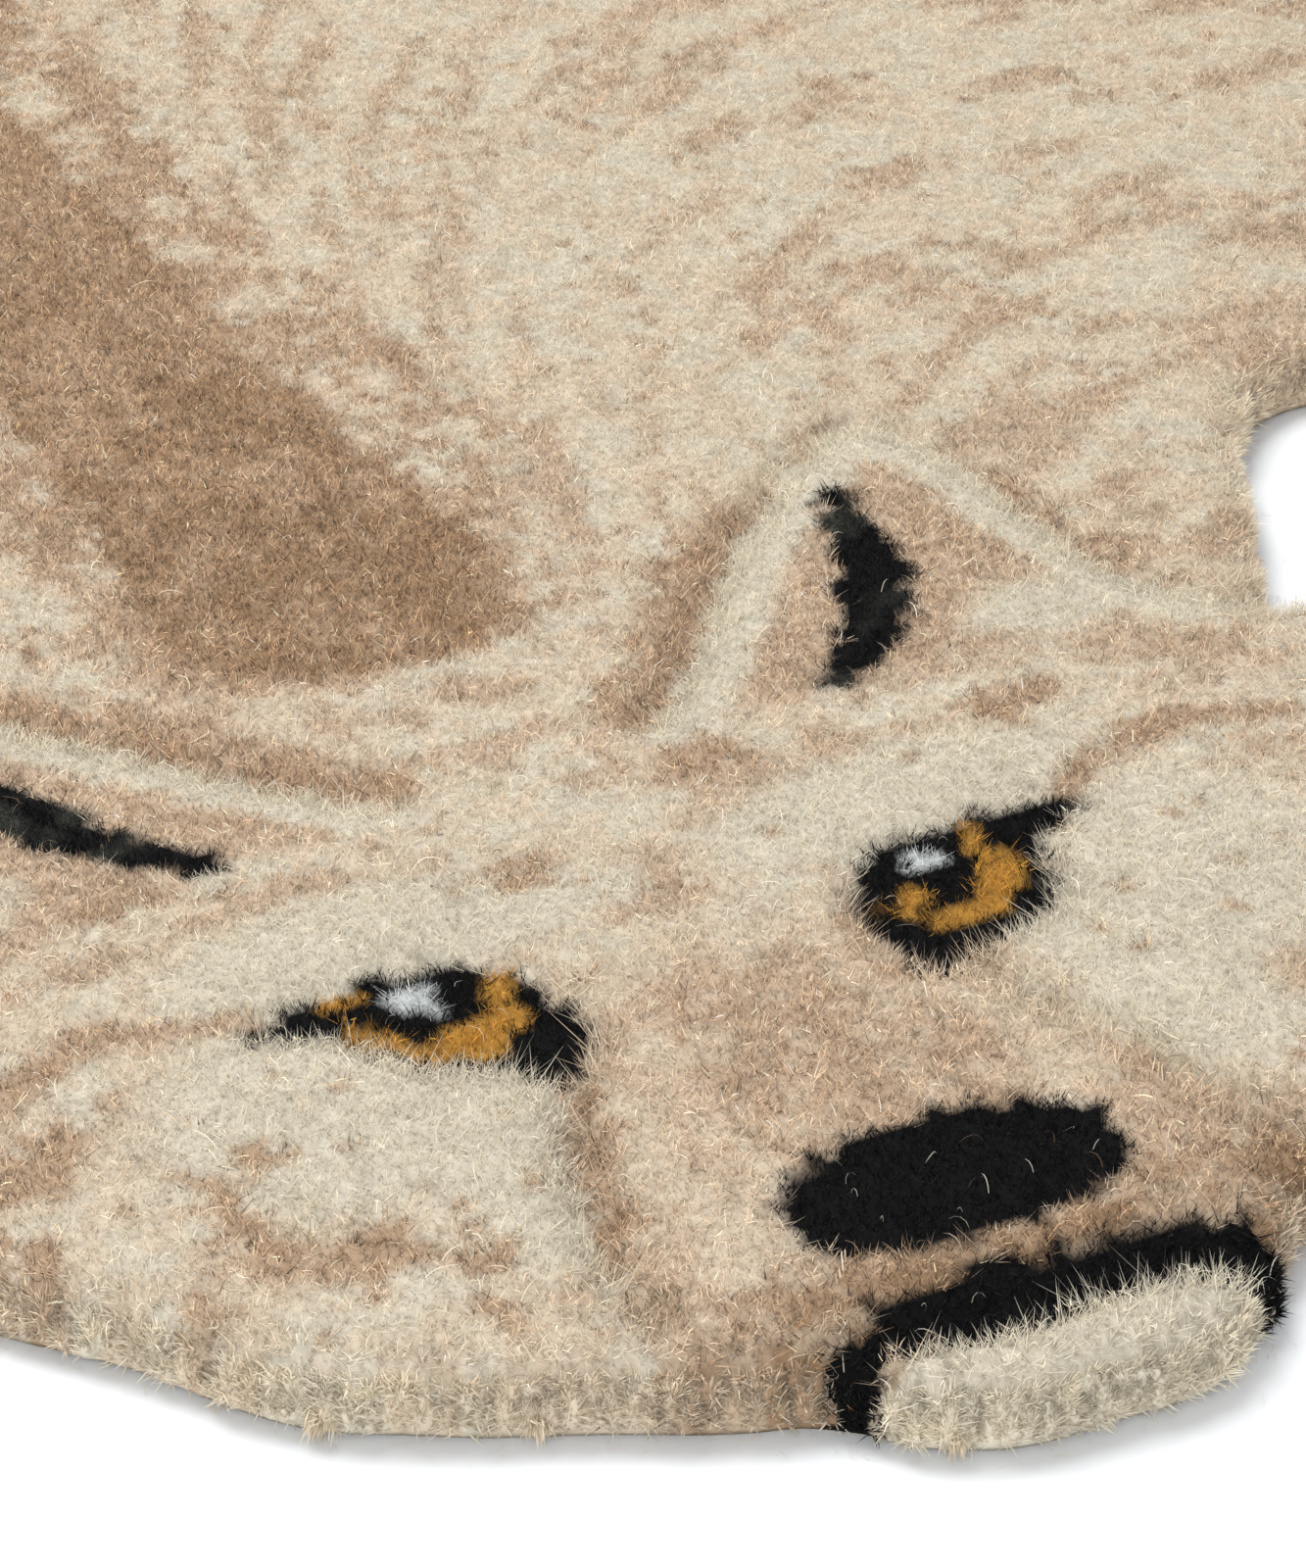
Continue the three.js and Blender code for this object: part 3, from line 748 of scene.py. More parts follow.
def make_mesh(name, points, faces_of_three):
    """A mesh from arrays of points in millimetres and of triangles."""
    mesh = bpy.data.meshes.new(name)
    mesh.vertices.add(len(points))
    mesh.vertices.foreach_set("co", to_metres(points).ravel())
    mesh.loops.add(faces_of_three.size)
    mesh.loops.foreach_set("vertex_index", faces_of_three.astype(np.int32).ravel())
    mesh.polygons.add(len(faces_of_three))
    mesh.polygons.foreach_set("loop_start", np.arange(0, faces_of_three.size, 3, dtype=np.int32))
    mesh.update(calc_edges=True)
    piece = bpy.data.objects.new(name, mesh)
    bpy.context.collection.objects.link(piece)
    return piece


def set_yarn_and_shade(mesh, colours):
    """Puts a linear colour on every vertex, under the name yarn: the yarn's colour with its painted shade and
    light.
    """
    layer = mesh.attributes.new("yarn", "FLOAT_COLOR", "POINT")
    rows = np.column_stack([np.clip(colours, 0, 1), np.ones(len(colours))])
    layer.data.foreach_set("color", rows.astype(np.float32).ravel())


base = make_mesh("pile_base", points, triangles)
print("base", len(triangles), "triangles")

# %% [markdown]
# ## The yarns
#
# The rug has few yarns: cream, beige, tan and brown for the coat, black, charcoal, amber and a bluish
# white for the eyes and ears. Each is a mix of fibres, and a darker yarn is more mixed than a pale one. A
# coat is kept as four numbers for each place: its colour, and how mixed its fibres are.

# %% Yarn colours
YARN = {name: linear(value) for name, value in {
    "cream": "#d8d0be",
    "beige": "#d8c9b4",
    "tan": "#ccb69e",
    "brown": "#b79c81",
    "dark_brown": "#9a7d60",
    "black": "#08080a",
    "charcoal": "#3a3c36",
    "amber": "#bd8c3e",
    "glint": "#d3d7d6",
}.items()}
MIXED = {"cream": 0.10, "beige": 0.18, "tan": 0.5, "brown": 0.68, "dark_brown": 0.72, "black": 0.25,
         "charcoal": 0.5, "amber": 0.4, "glint": 0.1}


def yarn_of(name):
    """A yarn's three linear colours and how mixed it is."""
    return np.append(YARN[name], MIXED[name])


def lay(coat, where, yarn):
    """Lays a yarn over the coat: the old one plus its difference to the new one times the share."""
    return mix(coat, yarn, np.clip(where, 0, 1)[:, None])


print("yarns", list(YARN))

# %% [markdown]
# The coat's streaks leave the spine steeply and flatten out towards the leg. So the pattern is noise that
# is drawn out along curves: the place along is first bent by an exponential, and the noise is then long
# one way and narrow the other. A tuft is of one yarn, so a number of its own decides where it is unsure.


# %% Body, forehead and cheeks
def ragged(x, y):
    """How far each tuft strays over a drawn line, in mm."""
    return 3.2 * (noise(x, y, 3.4, 71) - 0.5)


def tuft_number(x, y):
    """A tuft's own number from 0 to 1. The noise is finer than the tufts, so each has another one."""
    return noise(x, y, 1.7, 40)


def ground(x, y):
    """The coat of the body, the forehead and the cheeks."""
    across = np.abs(x)
    own = tuft_number(x, y)
    puffs = 0.42 * noise(x, y, 5.5, 41) + 0.14 * noise(x, y, 14, 42) + 0.44 * own
    coat = mix(yarn_of("beige"), yarn_of("cream"), smooth((puffs - 0.46) / 0.12)[:, None])
    bent = y - 0.15 * across + 157 * np.exp(-(across - 50) / 45)
    drift = across + 0.35 * y
    body = (0.42 * noise(drift / 36, bent / 10, 1, 51) + 0.28 * noise(drift / 12, bent / 5, 1, 52)
            + 0.30 * own)
    brow_rows = y + 0.0012 * x**2
    cross = 0.46 * noise(x / 17, brow_rows / 8, 1, 61) + 0.28 * noise(x / 7, y / 4, 1, 62) + 0.26 * own
    down = (0.45 * noise((x * 0.8 + y * 0.35) / 8, (y - 0.5 * across) / 16, 1, 63)
            + 0.27 * noise(x, y, 5, 64) + 0.28 * own)
    forehead = smooth((224 - y) / 8) * smooth((y - 114) / 8) * smooth((138 - across) / 8)
    cheek = smooth((120 - y) / 8)
    fleck = mix(mix(body, cross, forehead), down, cheek)
    streak = smooth((fleck - 0.54) / 0.07)
    coat = lay(coat, 0.8 * streak, mix(yarn_of("tan"), yarn_of("brown"), 0.4))
    return lay(coat, 0.55 * oval(x, y, (194, 250), (20, 26), 0.8), yarn_of("tan"))


# %% Brows, cheeks and blotches
BLOTCHES = [(-114, 108, 9, 7), (-122, 89, 4, 5), (-94, 80, 4, 12), (-80, 68, 7, 5), (-87, 94, 4, 4),
            (-66, 61, 3, 8), (-71, 47, 3, 4), (-104, 68, 3, 6), (-22, 146, 7, 5), (-78, 168, 9, 5),
            (20, 163, 8, 4), (76, 156, 8, 5)]  # across, along and half sizes, in mm
CORNER_STRIPES = [np.array([(66, 127, 1.6), (78, 135, 2.8), (93, 139, 4.2), (108, 136, 3.2),
                            (117, 131, 1.5)]),
                  np.array([(-74, 127, 1.6), (-84, 131.5, 2.6), (-97, 133, 3.6), (-110, 127, 3.0),
                            (-118, 120, 1.5)])]  # rows of across, along and half width


def face_coat(x, y, coat):
    """Pale brows and cheeks, brown blotches on the cheeks, and a stripe from each eye's outer corner."""
    rag = ragged(x, y)
    own = tuft_number(x, y)
    for side in (1, -1):
        coat = lay(coat, oval(x, y + 0.4 * rag, (side * 45, 139), (37, 14), 0.45), yarn_of("cream"))
        coat = lay(coat, oval(x, y, (side * 68, 101), (32, 28), 0.45), yarn_of("cream"))
        coat = lay(coat, oval(x, y, (side * 54, 76), (14, 26), 0.5), yarn_of("cream"))
    for cx, cy, rx, ry in BLOTCHES:
        here = oval(x + rag, y + rag, (cx, cy), (rx * 1.2, ry * 1.2), 1.1)
        coat = lay(coat, 0.9 * smooth((here + 1.2 * (own - 0.5) - 0.45) / 0.3), yarn_of("brown"))
    for stripe in CORNER_STRIPES:
        coat = lay(coat, 0.9 * smooth((0.8 + rag - band(x, y, stripe)) / 1.6), yarn_of("brown"))
    return coat


# %% Muzzle and spine
MUZZLE = np.array([(6, -46, 40), (18, -54, 45), (30, -58, 50), (39, -55, 49), (52, -53, 46), (68, -49, 41),
                   (82, -44, 36), (95, -39, 30), (116, -24, 20), (132, -8, 6)], float)  # along, left, right
SPINE = np.array([(213, -6, 2, 18), (218, -28, 12, 24), (225, -37, 20, 30), (240, -43, 25, 34),
                  (262, -42, 26, 38), (282, -38, 22, 50), (330, -37, 20, 50), (400, -39, 20, 45),
                  (500, -42, 20, 52), (700, -42, 22, 44),
                  (1400, -30, 24, 32)], float)  # along, left, right, end of the mixed part


def muzzle_coat(x, y, coat):
    """Tan over the bridge of the nose, paler beside it, brown along the groove and round the mouth, and a
    painted shadow line down the left groove.
    """
    rag = ragged(x, y)
    own = tuft_number(x, y)
    left = np.interp(y, MUZZLE[:, 0], MUZZLE[:, 1])
    right = np.interp(y, MUZZLE[:, 0], MUZZLE[:, 2])
    on_left = smooth((x - left + 0.3 * rag) / 0.9)
    on_right = smooth((right - x + rag) / 3)
    on_muzzle = on_left * on_right * (y < 133) * smooth((y - 8) / 3)
    mottle = 0.5 * noise(x, y, 6, 44) + 0.5 * own
    pale = mix(yarn_of("beige"), yarn_of("tan"), (0.7 * smooth((mottle - 0.42) / 0.15))[:, None])
    coat = lay(coat, on_muzzle * smooth((128 - y) / 22), pale)
    bridge = smooth((24 - np.abs(x) + rag) / 5) * smooth((118 - y) / 20)
    groove_side = smooth((9 - (x - left) + rag) / 3) * smooth((96 - y) / 10)
    right_side = 0.6 * smooth((y - 28) / 6) * smooth((68 - y) / 8) * smooth((x - 22 + rag) / 6)
    low = smooth((40 - y + rag) / 6)
    speckle = 0.4 + 0.6 * smooth((mottle - 0.40) / 0.12)
    warm = mix(yarn_of("tan"), yarn_of("brown"), 0.5)
    coat = lay(coat, on_muzzle * np.maximum(bridge, right_side) * speckle, warm)
    coat = lay(coat, on_muzzle * np.maximum(groove_side, low) * speckle, yarn_of("brown"))
    coat = lay(coat, 0.8 * on_muzzle * smooth((34 - y + rag) / 6) * speckle, yarn_of("dark_brown"))
    # Painted shadow: a dark brown line, about 1.7 mm wide, along the left muzzle groove on the muzzle's side.
    crease_shade = np.abs(beside(x, y, muzzle_edges[1])) + 4 * (x < left - 0.5)
    return lay(coat, 0.7 * smooth((1.7 - crease_shade) / 0.6) * (y < 96), yarn_of("dark_brown"))


def spine_coat(x, y, coat):
    """A brown band down the back with a round end, and a mixed band at its right."""
    rag = ragged(x, y)
    own = tuft_number(x, y)
    left, right, mixed_end = (np.interp(y, SPINE[:, 0], SPINE[:, k]) for k in (1, 2, 3))
    start = smooth((y - 212 - rag) / 3)
    mottle = 0.35 * noise(x, y / 2.2, 5.5, 45) + 0.25 * noise(x, y, 14, 46) + 0.40 * own
    in_mixed = smooth((mixed_end + 2 * rag - x) / 10) * smooth((x - left + 16 + 2 * rag) / 8) * start
    coat = lay(coat, in_mixed * smooth((mottle - 0.40) / 0.10), mix(yarn_of("tan"), yarn_of("brown"), 0.75))
    core = smooth((x - left + rag) / 3) * smooth((right + 1.5 * rag - x) / 6) * start
    coat = lay(coat, core, yarn_of("brown"))
    deep = core * smooth((mottle - 0.36) / 0.2) * mix(0.75, 0.35, smooth((y - 300) / 180))
    return lay(coat, deep, yarn_of("dark_brown"))


# %% Ears
EAR_BAND = 10.5  # mm
EAR_MARK = np.array([(53, 176, 3.0), (62, 181, 4.6), (70, 192, 6.0), (77, 204, 7.0), (81, 216, 5.2),
                     (84, 226, 3.4), (87, 234, 3.6)], float)


def ear_coat(x, y, coat):
    """For each ear: a shade along its outside, a tan hollow, a cream band, and a dark mark."""
    rag = ragged(x, y)
    own = tuft_number(x, y)
    for line, side, move in ((ears[0], 1, (0, 0)), (ears[1], -1, LEFT_EAR_MOVE)):
        in_ear = -side * beside(x, y, line)
        far_x, far_y = side * x - move[0], y - move[1]
        in_reach = (far_x > 14) & (far_x < 134) & (far_y > 160) & (far_y < 262)
        inner_side = far_x < 96
        shade_width = np.where(inner_side, 15, 9) + 2.5 * rag
        shade = (in_ear < 0) * smooth((shade_width + in_ear) / 6) * smooth((far_y - 176 - rag) / 5)
        outer_end = smooth((240 - far_y) / 10) * (far_y > 188)
        shade = shade * np.where(inner_side, smooth((246 - far_y) / 10), outer_end)
        speckle = 0.7 + 0.3 * smooth((own - 0.3) / 0.2)
        coat = lay(coat, shade * in_reach * speckle, yarn_of("brown"))
        hollow = smooth((in_ear - EAR_BAND + 0.4 * rag) / 1.4) * smooth((far_y - 170 - rag) / 5)
        tan = mix(yarn_of("tan"), yarn_of("brown"), (0.65 * smooth((own - 0.35) / 0.3))[:, None])
        coat = lay(coat, 0.95 * hollow * in_reach * (far_x < 112), tan)
        pale_corner = oval(far_x, far_y, (99, 181), (17, 9), 0.5) * (in_ear > 0)
        in_band = (in_ear > -0.3) * smooth((EAR_BAND + 0.4 * rag - in_ear) / 1.4) * smooth((far_y - 160) / 6)
        coat = lay(coat, in_reach * np.maximum(in_band, pale_corner), yarn_of("cream"))
        mark = smooth((0.6 + rag - band(far_x, far_y, EAR_MARK)) / 0.8)
        grey = smooth((noise(x, y, 4.5, 81) - 0.45) / 0.2) * smooth((noise(x, y, 12, 82) - 0.35) / 0.2)
        coat = lay(coat, mark, mix(yarn_of("black"), yarn_of("charcoal"), grey[:, None]))
    return coat


# %% [markdown]
# The eyes lie lower than the pile, so the camera sees them a little further on than they lie. What is
# drawn on their floor is moved by that much. Each has a black ground, an amber crescent and one glint.

# %% Eyes, nose, mouth and chin
def seen_place(x, y, depth):
    """Where a point that lies deeper than the pile seems to be on it: moved back along the view."""
    back = depth / np.tan(tilt)
    return x - VIEW_ACROSS * back, y - VIEW_ALONG * back


CRESCENTS = [[np.array([(31, 104.5, 1.8), (39, 105, 2.6), (46, 110, 3.0), (48.5, 117, 2.6), (47, 125, 1.5)]),
              np.array([(26.5, 109.5, 1.6), (32, 113.5, 2.2)])],
             [np.array([(-61, 118, 1.5), (-55, 109.5, 2.8), (-47, 106, 3.6), (-40.5, 111, 3.0),
                        (-37, 119, 1.8)]),
              np.array([(-61, 126, 1.0), (-57, 126.5, 1.0)])]]
GLINTS = [np.array([(35.5, 118.5, 1.6), (37.5, 121.5, 2.1)]),
          np.array([(-51.5, 122.5, 1.9), (-47.5, 122, 2.1)])]


def dark_coat(x, y, coat):
    """The cream chin, and over it the black eyes, nose and mouth with the eyes' crescents and glints."""
    rag = ragged(x, y)
    chin_left = np.interp(y, [0, 8, 16], [-52, -42, -30])
    chin = smooth((17 - y + rag) / 3) * smooth((x - chin_left + rag) / 2) * smooth((46 - x) / 3)
    coat = lay(coat, chin, yarn_of("cream"))
    for eye, crescents, glint in zip(eyes, CRESCENTS, GLINTS):
        hollow = outside(x, y, eye)
        far_wall = smooth((y - 112) / 8)
        coat = lay(coat, smooth((0.2 + 0.9 * far_wall + 0.3 * rag - hollow) / 0.8), yarn_of("black"))
        sx, sy = seen_place(x, y, eye_depth(y))
        for crescent in crescents:
            iris = smooth((0.5 + 0.6 * rag - band(sx, sy, crescent)) / 0.6) * (hollow < -0.2)
            coat = lay(coat, iris, yarn_of("amber"))
        shine = smooth((0.3 + 0.5 * rag - band(sx, sy, glint)) / 0.6) * (hollow < 0)
        coat = lay(coat, shine, yarn_of("glint"))
    from_nose = outside(*seen_place(x, y, NOSE_DEPTH), nose)
    coat = lay(coat, smooth((0.6 + 1.0 * rag - from_nose) / 0.8), yarn_of("black"))
    return lay(coat, smooth((1.3 + 0.9 * rag - band(x, y, mouth)) / 0.8), yarn_of("black"))


def coat_at(x, y):
    """The whole pattern, from the ground up, worked out once for each different place."""
    keys = np.round(x * 100).astype(np.int64) * 1000003 + np.round(y * 100).astype(np.int64)
    _, first, repeat = np.unique(keys, return_index=True, return_inverse=True)
    px, py = x[first], y[first]
    coat = ground(px, py)
    for layer in (face_coat, muzzle_coat, spine_coat, ear_coat, dark_coat):
        coat = layer(px, py, coat)
    return coat[repeat.ravel()]


def tuft_coat(x, y):
    """The coat at the middle of the tuft that each place belongs to."""
    off_x, off_y, _, _ = tufts(x, y)
    return coat_at(x - off_x, y - off_y)


print("a cheek's yarn", coat_at(np.array([-60.0]), np.array([90.0])).round(3))

# %% [markdown]
# The base gets the same pattern, darkened by painted shade because it only shows between the fibres.
# On the rim's lower walls it is darkened less.
# Its back is the woven cloth.

# %% Colour the base
NEAR_SHADE, RIM_SHADE, FAR_SHADE = 0.5, 0.75, 0.5  # painted shade: brightness of the roots against the yarn
base_shade = mix(FAR_SHADE, NEAR_SHADE, closeness(points[:, 0], points[:, 1]))
base_shade[count:7 * count] = np.maximum(base_shade[count:7 * count], RIM_SHADE)
set_yarn_and_shade(base.data, tuft_coat(points[:, 0], points[:, 1])[:, :3] * base_shade[:, None])
base.data.materials.append(base_wool)
base.data.materials.append(backing)
slots = np.zeros(len(triangles), np.int32)
slots[len(walls) + len(face):] = 1
base.data.polygons.foreach_set("material_index", slots)
normals = np.empty(len(points) * 3)
base.data.vertex_normals.foreach_get("vector", normals)
normals = normals.reshape(-1, 3)
UP = np.array([0, 0, 1.0])
UPRIGHT = 0.88  # how much the pile stands upright rather than square to its base
normals[face_start:] = mix(normals[face_start:], UP, UPRIGHT)
print("base coloured,", len(points), "points")

# %% [markdown]
# ## Growing the pile
#
# Blender has hair curves, but an exported model keeps only meshes. So each fibre is a flat blade of one to
# seven triangles that ends in a point. First, places are scattered over the base, as many on each
# triangle as its area asks.

# %% Places for the fibres
HIDDEN_ROWS = 1  # rows of the wall that lie against the floor and carry no fibres
pile_triangles = np.vstack([walls[2 * HIDDEN_ROWS * count:], face])
corner_points = points[pile_triangles]
cross = np.cross(corner_points[:, 1] - corner_points[:, 0], corner_points[:, 2] - corner_points[:, 0])
areas = 0.5 * np.linalg.norm(cross, axis=1)
middles = corner_points.mean(axis=1)
near_share = closeness(middles[:, 0], middles[:, 1])
WALL_ROWS_WITH_RIM_YARN = 7
is_wall = np.arange(len(pile_triangles)) < 2 * (WALL_ROWS_WITH_RIM_YARN - HIDDEN_ROWS) * count


def scatter(weights, number):
    """Random places on the base, as many to each triangle as its weight asks.

    Gives the places, the way that the base faces there, the triangles, and the shares of their corners."""
    total = np.cumsum(weights)
    chosen = np.searchsorted(total, rng.random(number) * total[-1])
    u, v = rng.random(number), rng.random(number)
    flip = u + v > 1
    u, v = np.where(flip, 1 - u, u), np.where(flip, 1 - v, v)
    corners = pile_triangles[chosen]
    shares = np.column_stack([1 - u - v, u, v])
    place = (points[corners] * shares[:, :, None]).sum(axis=1)
    normal = (normals[corners] * shares[:, :, None]).sum(axis=1)
    return place, normal / np.linalg.norm(normal, axis=1)[:, None], corners, shares


print("pile", round(areas.sum() * 1e-6, 4), "m2, close-up", round((areas * near_share).sum() * 1e-6, 4), "m2")


# %% Blades
def across_way(way):
    """A random direction at a right angle to each way."""
    side = np.cross(way, rng.normal(size=way.shape))
    return side / np.linalg.norm(side, axis=1)[:, None]


def strips(centre, half_width, side):
    """Flat blades. centre has the points of each blade's middle line, half_width the half width at each,
    which is 0 at the tip, and side the direction in which the blade is wide."""
    number, rows, _ = centre.shape
    shift = side[:, None, :] * half_width[:, :, None]
    pairs = np.stack([(centre - shift)[:, :-1], (centre + shift)[:, :-1]], axis=2).reshape(number, -1, 3)
    vertices = np.concatenate([pairs, centre[:, -1:]], axis=1)
    faces = []
    for a in range(0, 2 * (rows - 2), 2):
        faces += [(a, a + 1, a + 3), (a, a + 3, a + 2)]
    last = 2 * (rows - 2)
    faces.append((last, last + 1, last + 2))
    faces = np.array(faces)[None] + (np.arange(number) * vertices.shape[1])[:, None, None]
    return vertices.reshape(-1, 3), faces.reshape(-1, 3)


FIBRE_STRAY = 0.8  # how far single fibres stray in tone, for each unit of a yarn's mix


def add_blades(name, centre, half_width, side, coat, tone, shade):
    """One piece of blades. Each has its coat's colour times its own tone, which may hold painted shade,
    times a painted shade from root to tip, and strays from it by a bell curve in the logarithm, as wide as
    the yarn is mixed."""
    number = len(centre)
    vertices, faces = strips(centre, half_width, side)
    own = FIBRE_STRAY * coat[:, 3]
    stray = np.exp(own * rng.normal(size=number) - own**2 / 2)
    root_to_tip_shade = np.append(np.repeat(shade[:-1], 2), shade[-1])
    colours = coat[:, None, :3] * (stray * tone)[:, None, None] * root_to_tip_shade[None, :, None]
    piece = make_mesh(name, vertices, faces)
    set_yarn_and_shade(piece.data, colours.reshape(-1, 3))
    piece.data.materials.append(wool)
    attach(piece, "root")
    print(name, number, "blades,", len(faces), "triangles")


# %% [markdown]
# A tuft opens like a brush: its fibres lean out from its middle, and it is cut a little domed. Within it
# the fibres hold together in locks that lean alike. The tips end at the height of the pile's cut face,
# read at the middle of the tuft, so a carved line steps from tuft to tuft as it does in wool.

# %% Fibres of the face
FAR_BLADE_SHADE = 0.6  # painted shade: broad blades far off shade each other less than thin dense ones, so they are darkened
OVER_TIP = 0.45  # mm that single tips stand over the height at which the pile looks closed


TUFT_TONE, LOCK_TONE = 0.2, 1.3  # how far tufts and locks stray in tone


def tuft_dome(tuft_x, tuft_y):
    """1 in the middle of a tuft, falling with the square of the distance to 0 at 2 mm."""
    return np.clip(1 - (tuft_x**2 + tuft_y**2) / 2.0**2, 0, 1)


def tuft_rise(dome, ti, tj):
    """How much higher a tuft is cut than the chart says, in mm: domed, and each by its own number."""
    return 0.9 * (dome - 0.75) + 0.55 * (lattice(ti, tj, 5) - 0.5)


def pile_tone(coat, ti, tj, li, lj):
    """Brightness of a tuft times that of a lock, which strays more where the yarn is more mixed."""
    lock = np.exp(LOCK_TONE * coat[:, 3] * (lattice(li, lj, 9) - 0.5))
    return (1 + TUFT_TONE * (lattice(ti, tj, 7) - 0.5)) * lock


def grow(name, place, normal, width, wild, far=False):
    """Straight fibres from places on the base, in tufts and locks."""
    number = len(place)
    x, y = place[:, 0], place[:, 1]
    tuft_x, tuft_y, ti, tj = tufts(x, y)
    _, _, li, lj = locks(x, y)
    lean = np.zeros((number, 3))
    tuft_lean = 0.0 if far else 0.28
    for k, off in ((0, tuft_x), (1, tuft_y)):
        lean[:, k] = (tuft_lean * off + 0.45 * (lattice(ti, tj, 13 + k) - 0.5)
                      + 0.5 * (lattice(li, lj, 3 + k) - 0.5) + wild * rng.normal(size=number))
    slope = 1 - normal[:, 2:3]
    way = normal * (1 - 0.45 * slope) + UP * 0.75 * slope + lean
    way /= np.linalg.norm(way, axis=1)[:, None]
    dome = tuft_dome(tuft_x, tuft_y)
    if far:
        height = np.full(number, 1.5)
    else:
        height = read_height(x - tuft_x, y - tuft_y, chart) + OVER_TIP - place[:, 2]
        height = np.where(slope[:, 0] > 0.25, FIBRE_REACH + OVER_TIP, np.clip(height, 0.9, 5.0))
    uneven = (tuft_rise(dome, ti, tj) + 0.3 * (lattice(li, lj, 6) - 0.5)
              + 0.35 * (rng.random(number) - 0.7))
    height = height + uneven * (0.4 if far else 1.0)
    length = height / np.clip((way * normal).sum(axis=1), 0.45, 1)
    steps = np.linspace(0, 1, 2)
    side = across_way(way)
    start = place - normal * 0.5
    centre = start[:, None] + way[:, None] * (length[:, None] + 0.5)[:, :, None] * steps[None, :, None]
    half = width[:, None] / 2 * (1 - steps)[None]
    coat = tuft_coat(x, y)
    tone = pile_tone(coat, ti, tj, li, lj)
    # Painted shade and light: a tuft's fibres are darker at its edge and lighter in its middle, the far
    # blades are darkened, and every fibre is darker at its root and lighter at its tip.
    tone = tone * (FAR_BLADE_SHADE if far else mix(0.84, 1.06, dome))
    add_blades(name, centre, half, side, coat, tone, mix(0.74, 1.06, steps))


FACE_FIBRES, FAR_FIBRES = 350000, 84000
place, normal, _, _ = scatter(areas * near_share * ~is_wall, FACE_FIBRES)
parts = np.array_split(np.argsort(place[:, 1]), 2)
for name, chosen in zip(("pile_head", "pile_shoulder"), parts):
    grow(name, place[chosen], normal[chosen], rng.uniform(0.18, 0.32, len(chosen)), 0.5)
place, normal, _, _ = scatter(areas * (1 - near_share), FAR_FIBRES)
grow("pile_rest", place, normal, np.full(FAR_FIBRES, 1.0), 0.45, far=True)

# %% [markdown]
# Wool is crimped, so the cut ends don't stand straight: they curl over each other and make the pile look
# soft. These fibres start just under the cut face, set off in any direction and bend as they go.


# %% Crimped ends
def crimp(name, place):
    """Short curled fibres from just under the cut face: a straight way plus a bow that grows as t squared."""
    number = len(place)
    x, y = place[:, 0], place[:, 1]
    tuft_x, tuft_y, ti, tj = tufts(x, y)
    _, _, li, lj = locks(x, y)
    dome = tuft_dome(tuft_x, tuft_y)
    tip = read_height(x - tuft_x, y - tuft_y, chart) + tuft_rise(dome, ti, tj)
    start_height = np.maximum(tip - rng.uniform(0.5, 1.6, number), place[:, 2] - 0.3)
    start = np.column_stack([x, y, start_height])
    way = rng.normal(size=(number, 3)) * (0.8, 0.8, 0.3)
    way[:, 2] = np.abs(way[:, 2]) + 0.4
    way[:, :2] += 0.3 * np.column_stack([tuft_x, tuft_y])
    way /= np.linalg.norm(way, axis=1)[:, None]
    side = across_way(way)
    bow = np.cross(side, way) * (0.75 * rng.normal(size=number))[:, None]
    bow[:, 2] -= 0.15
    length = rng.uniform(0.9, 1.8, number)
    steps = np.linspace(0, 1, 3)
    centre = (start[:, None] + way[:, None] * (length[:, None] * steps)[:, :, None]
              + bow[:, None] * (length[:, None] * steps**2)[:, :, None])
    half = np.array([0.075, 0.07, 0.0])[None] * rng.uniform(0.75, 1.3, (number, 1))
    coat = tuft_coat(x, y)
    tone = pile_tone(coat, ti, tj, li, lj)
    # Painted shade and light: darker at the tuft's edge and the fibre's root, lighter in its middle and at
    # the tip.
    tone = tone * mix(0.92, 1.1, dome)
    add_blades(name, centre, half, side, coat, tone, np.array([0.9, 1.0, 1.08]))


CRIMPED_ENDS = 100000
place, _, _, _ = scatter(areas * near_share * ~is_wall, CRIMPED_ENDS)
parts = np.array_split(np.argsort(place[:, 1]), 2)
for name, chosen in zip(("crimped_ends_head", "crimped_ends_shoulder"), parts):
    crimp(name, place[chosen])

# %% [markdown]
# At the rim the fibres lie along the sides of their bundles and rise with them. Lower down they are
# paler, and painted light and shade make them bright on the bundle's middle and dark in the gap beside it.

# %% Fibres of the rim
RIM_FIBRES = 30000
place, normal, corners, shares = scatter(areas * near_share * is_wall, RIM_FIBRES)
passed = edge_passed[corners % count]
passed = np.where(passed < passed.max(axis=1)[:, None] - 100, edge_passed[-1], passed)
along_rim = (passed * shares).sum(axis=1)
off_s, off_z, bundle_i, bundle_j = bundles(along_rim, place[:, 2])
_, _, ply_i, ply_j = cells(along_rim, place[:, 2] * 0.35, 0.9, 95)
tangent = np.column_stack([-normal[:, 1], normal[:, 0], np.zeros(RIM_FIBRES)])
tangent /= np.linalg.norm(tangent, axis=1)[:, None] + 1e-9
rise = 0.75 + 0.5 * (lattice(bundle_i, bundle_j, 5) - 0.5) + 0.30 * rng.normal(size=RIM_FIBRES)
spread_out = 0.30 * off_s + 0.5 * (lattice(ply_i, ply_j, 6) - 0.5) + 0.28 * rng.normal(size=RIM_FIBRES)
way = normal * rng.uniform(0.25, 0.6, (RIM_FIBRES, 1)) + UP * rise[:, None] + tangent * spread_out[:, None]
way /= np.linalg.norm(way, axis=1)[:, None]
dome = np.clip(1 - (off_s**2 + off_z**2) / 1.9**2, 0, 1)
length = (1.7 + 1.1 * dome + 0.7 * (lattice(bundle_i, bundle_j, 7) - 0.5)
          + 0.7 * (rng.random(RIM_FIBRES) - 0.5))
side = across_way(way)
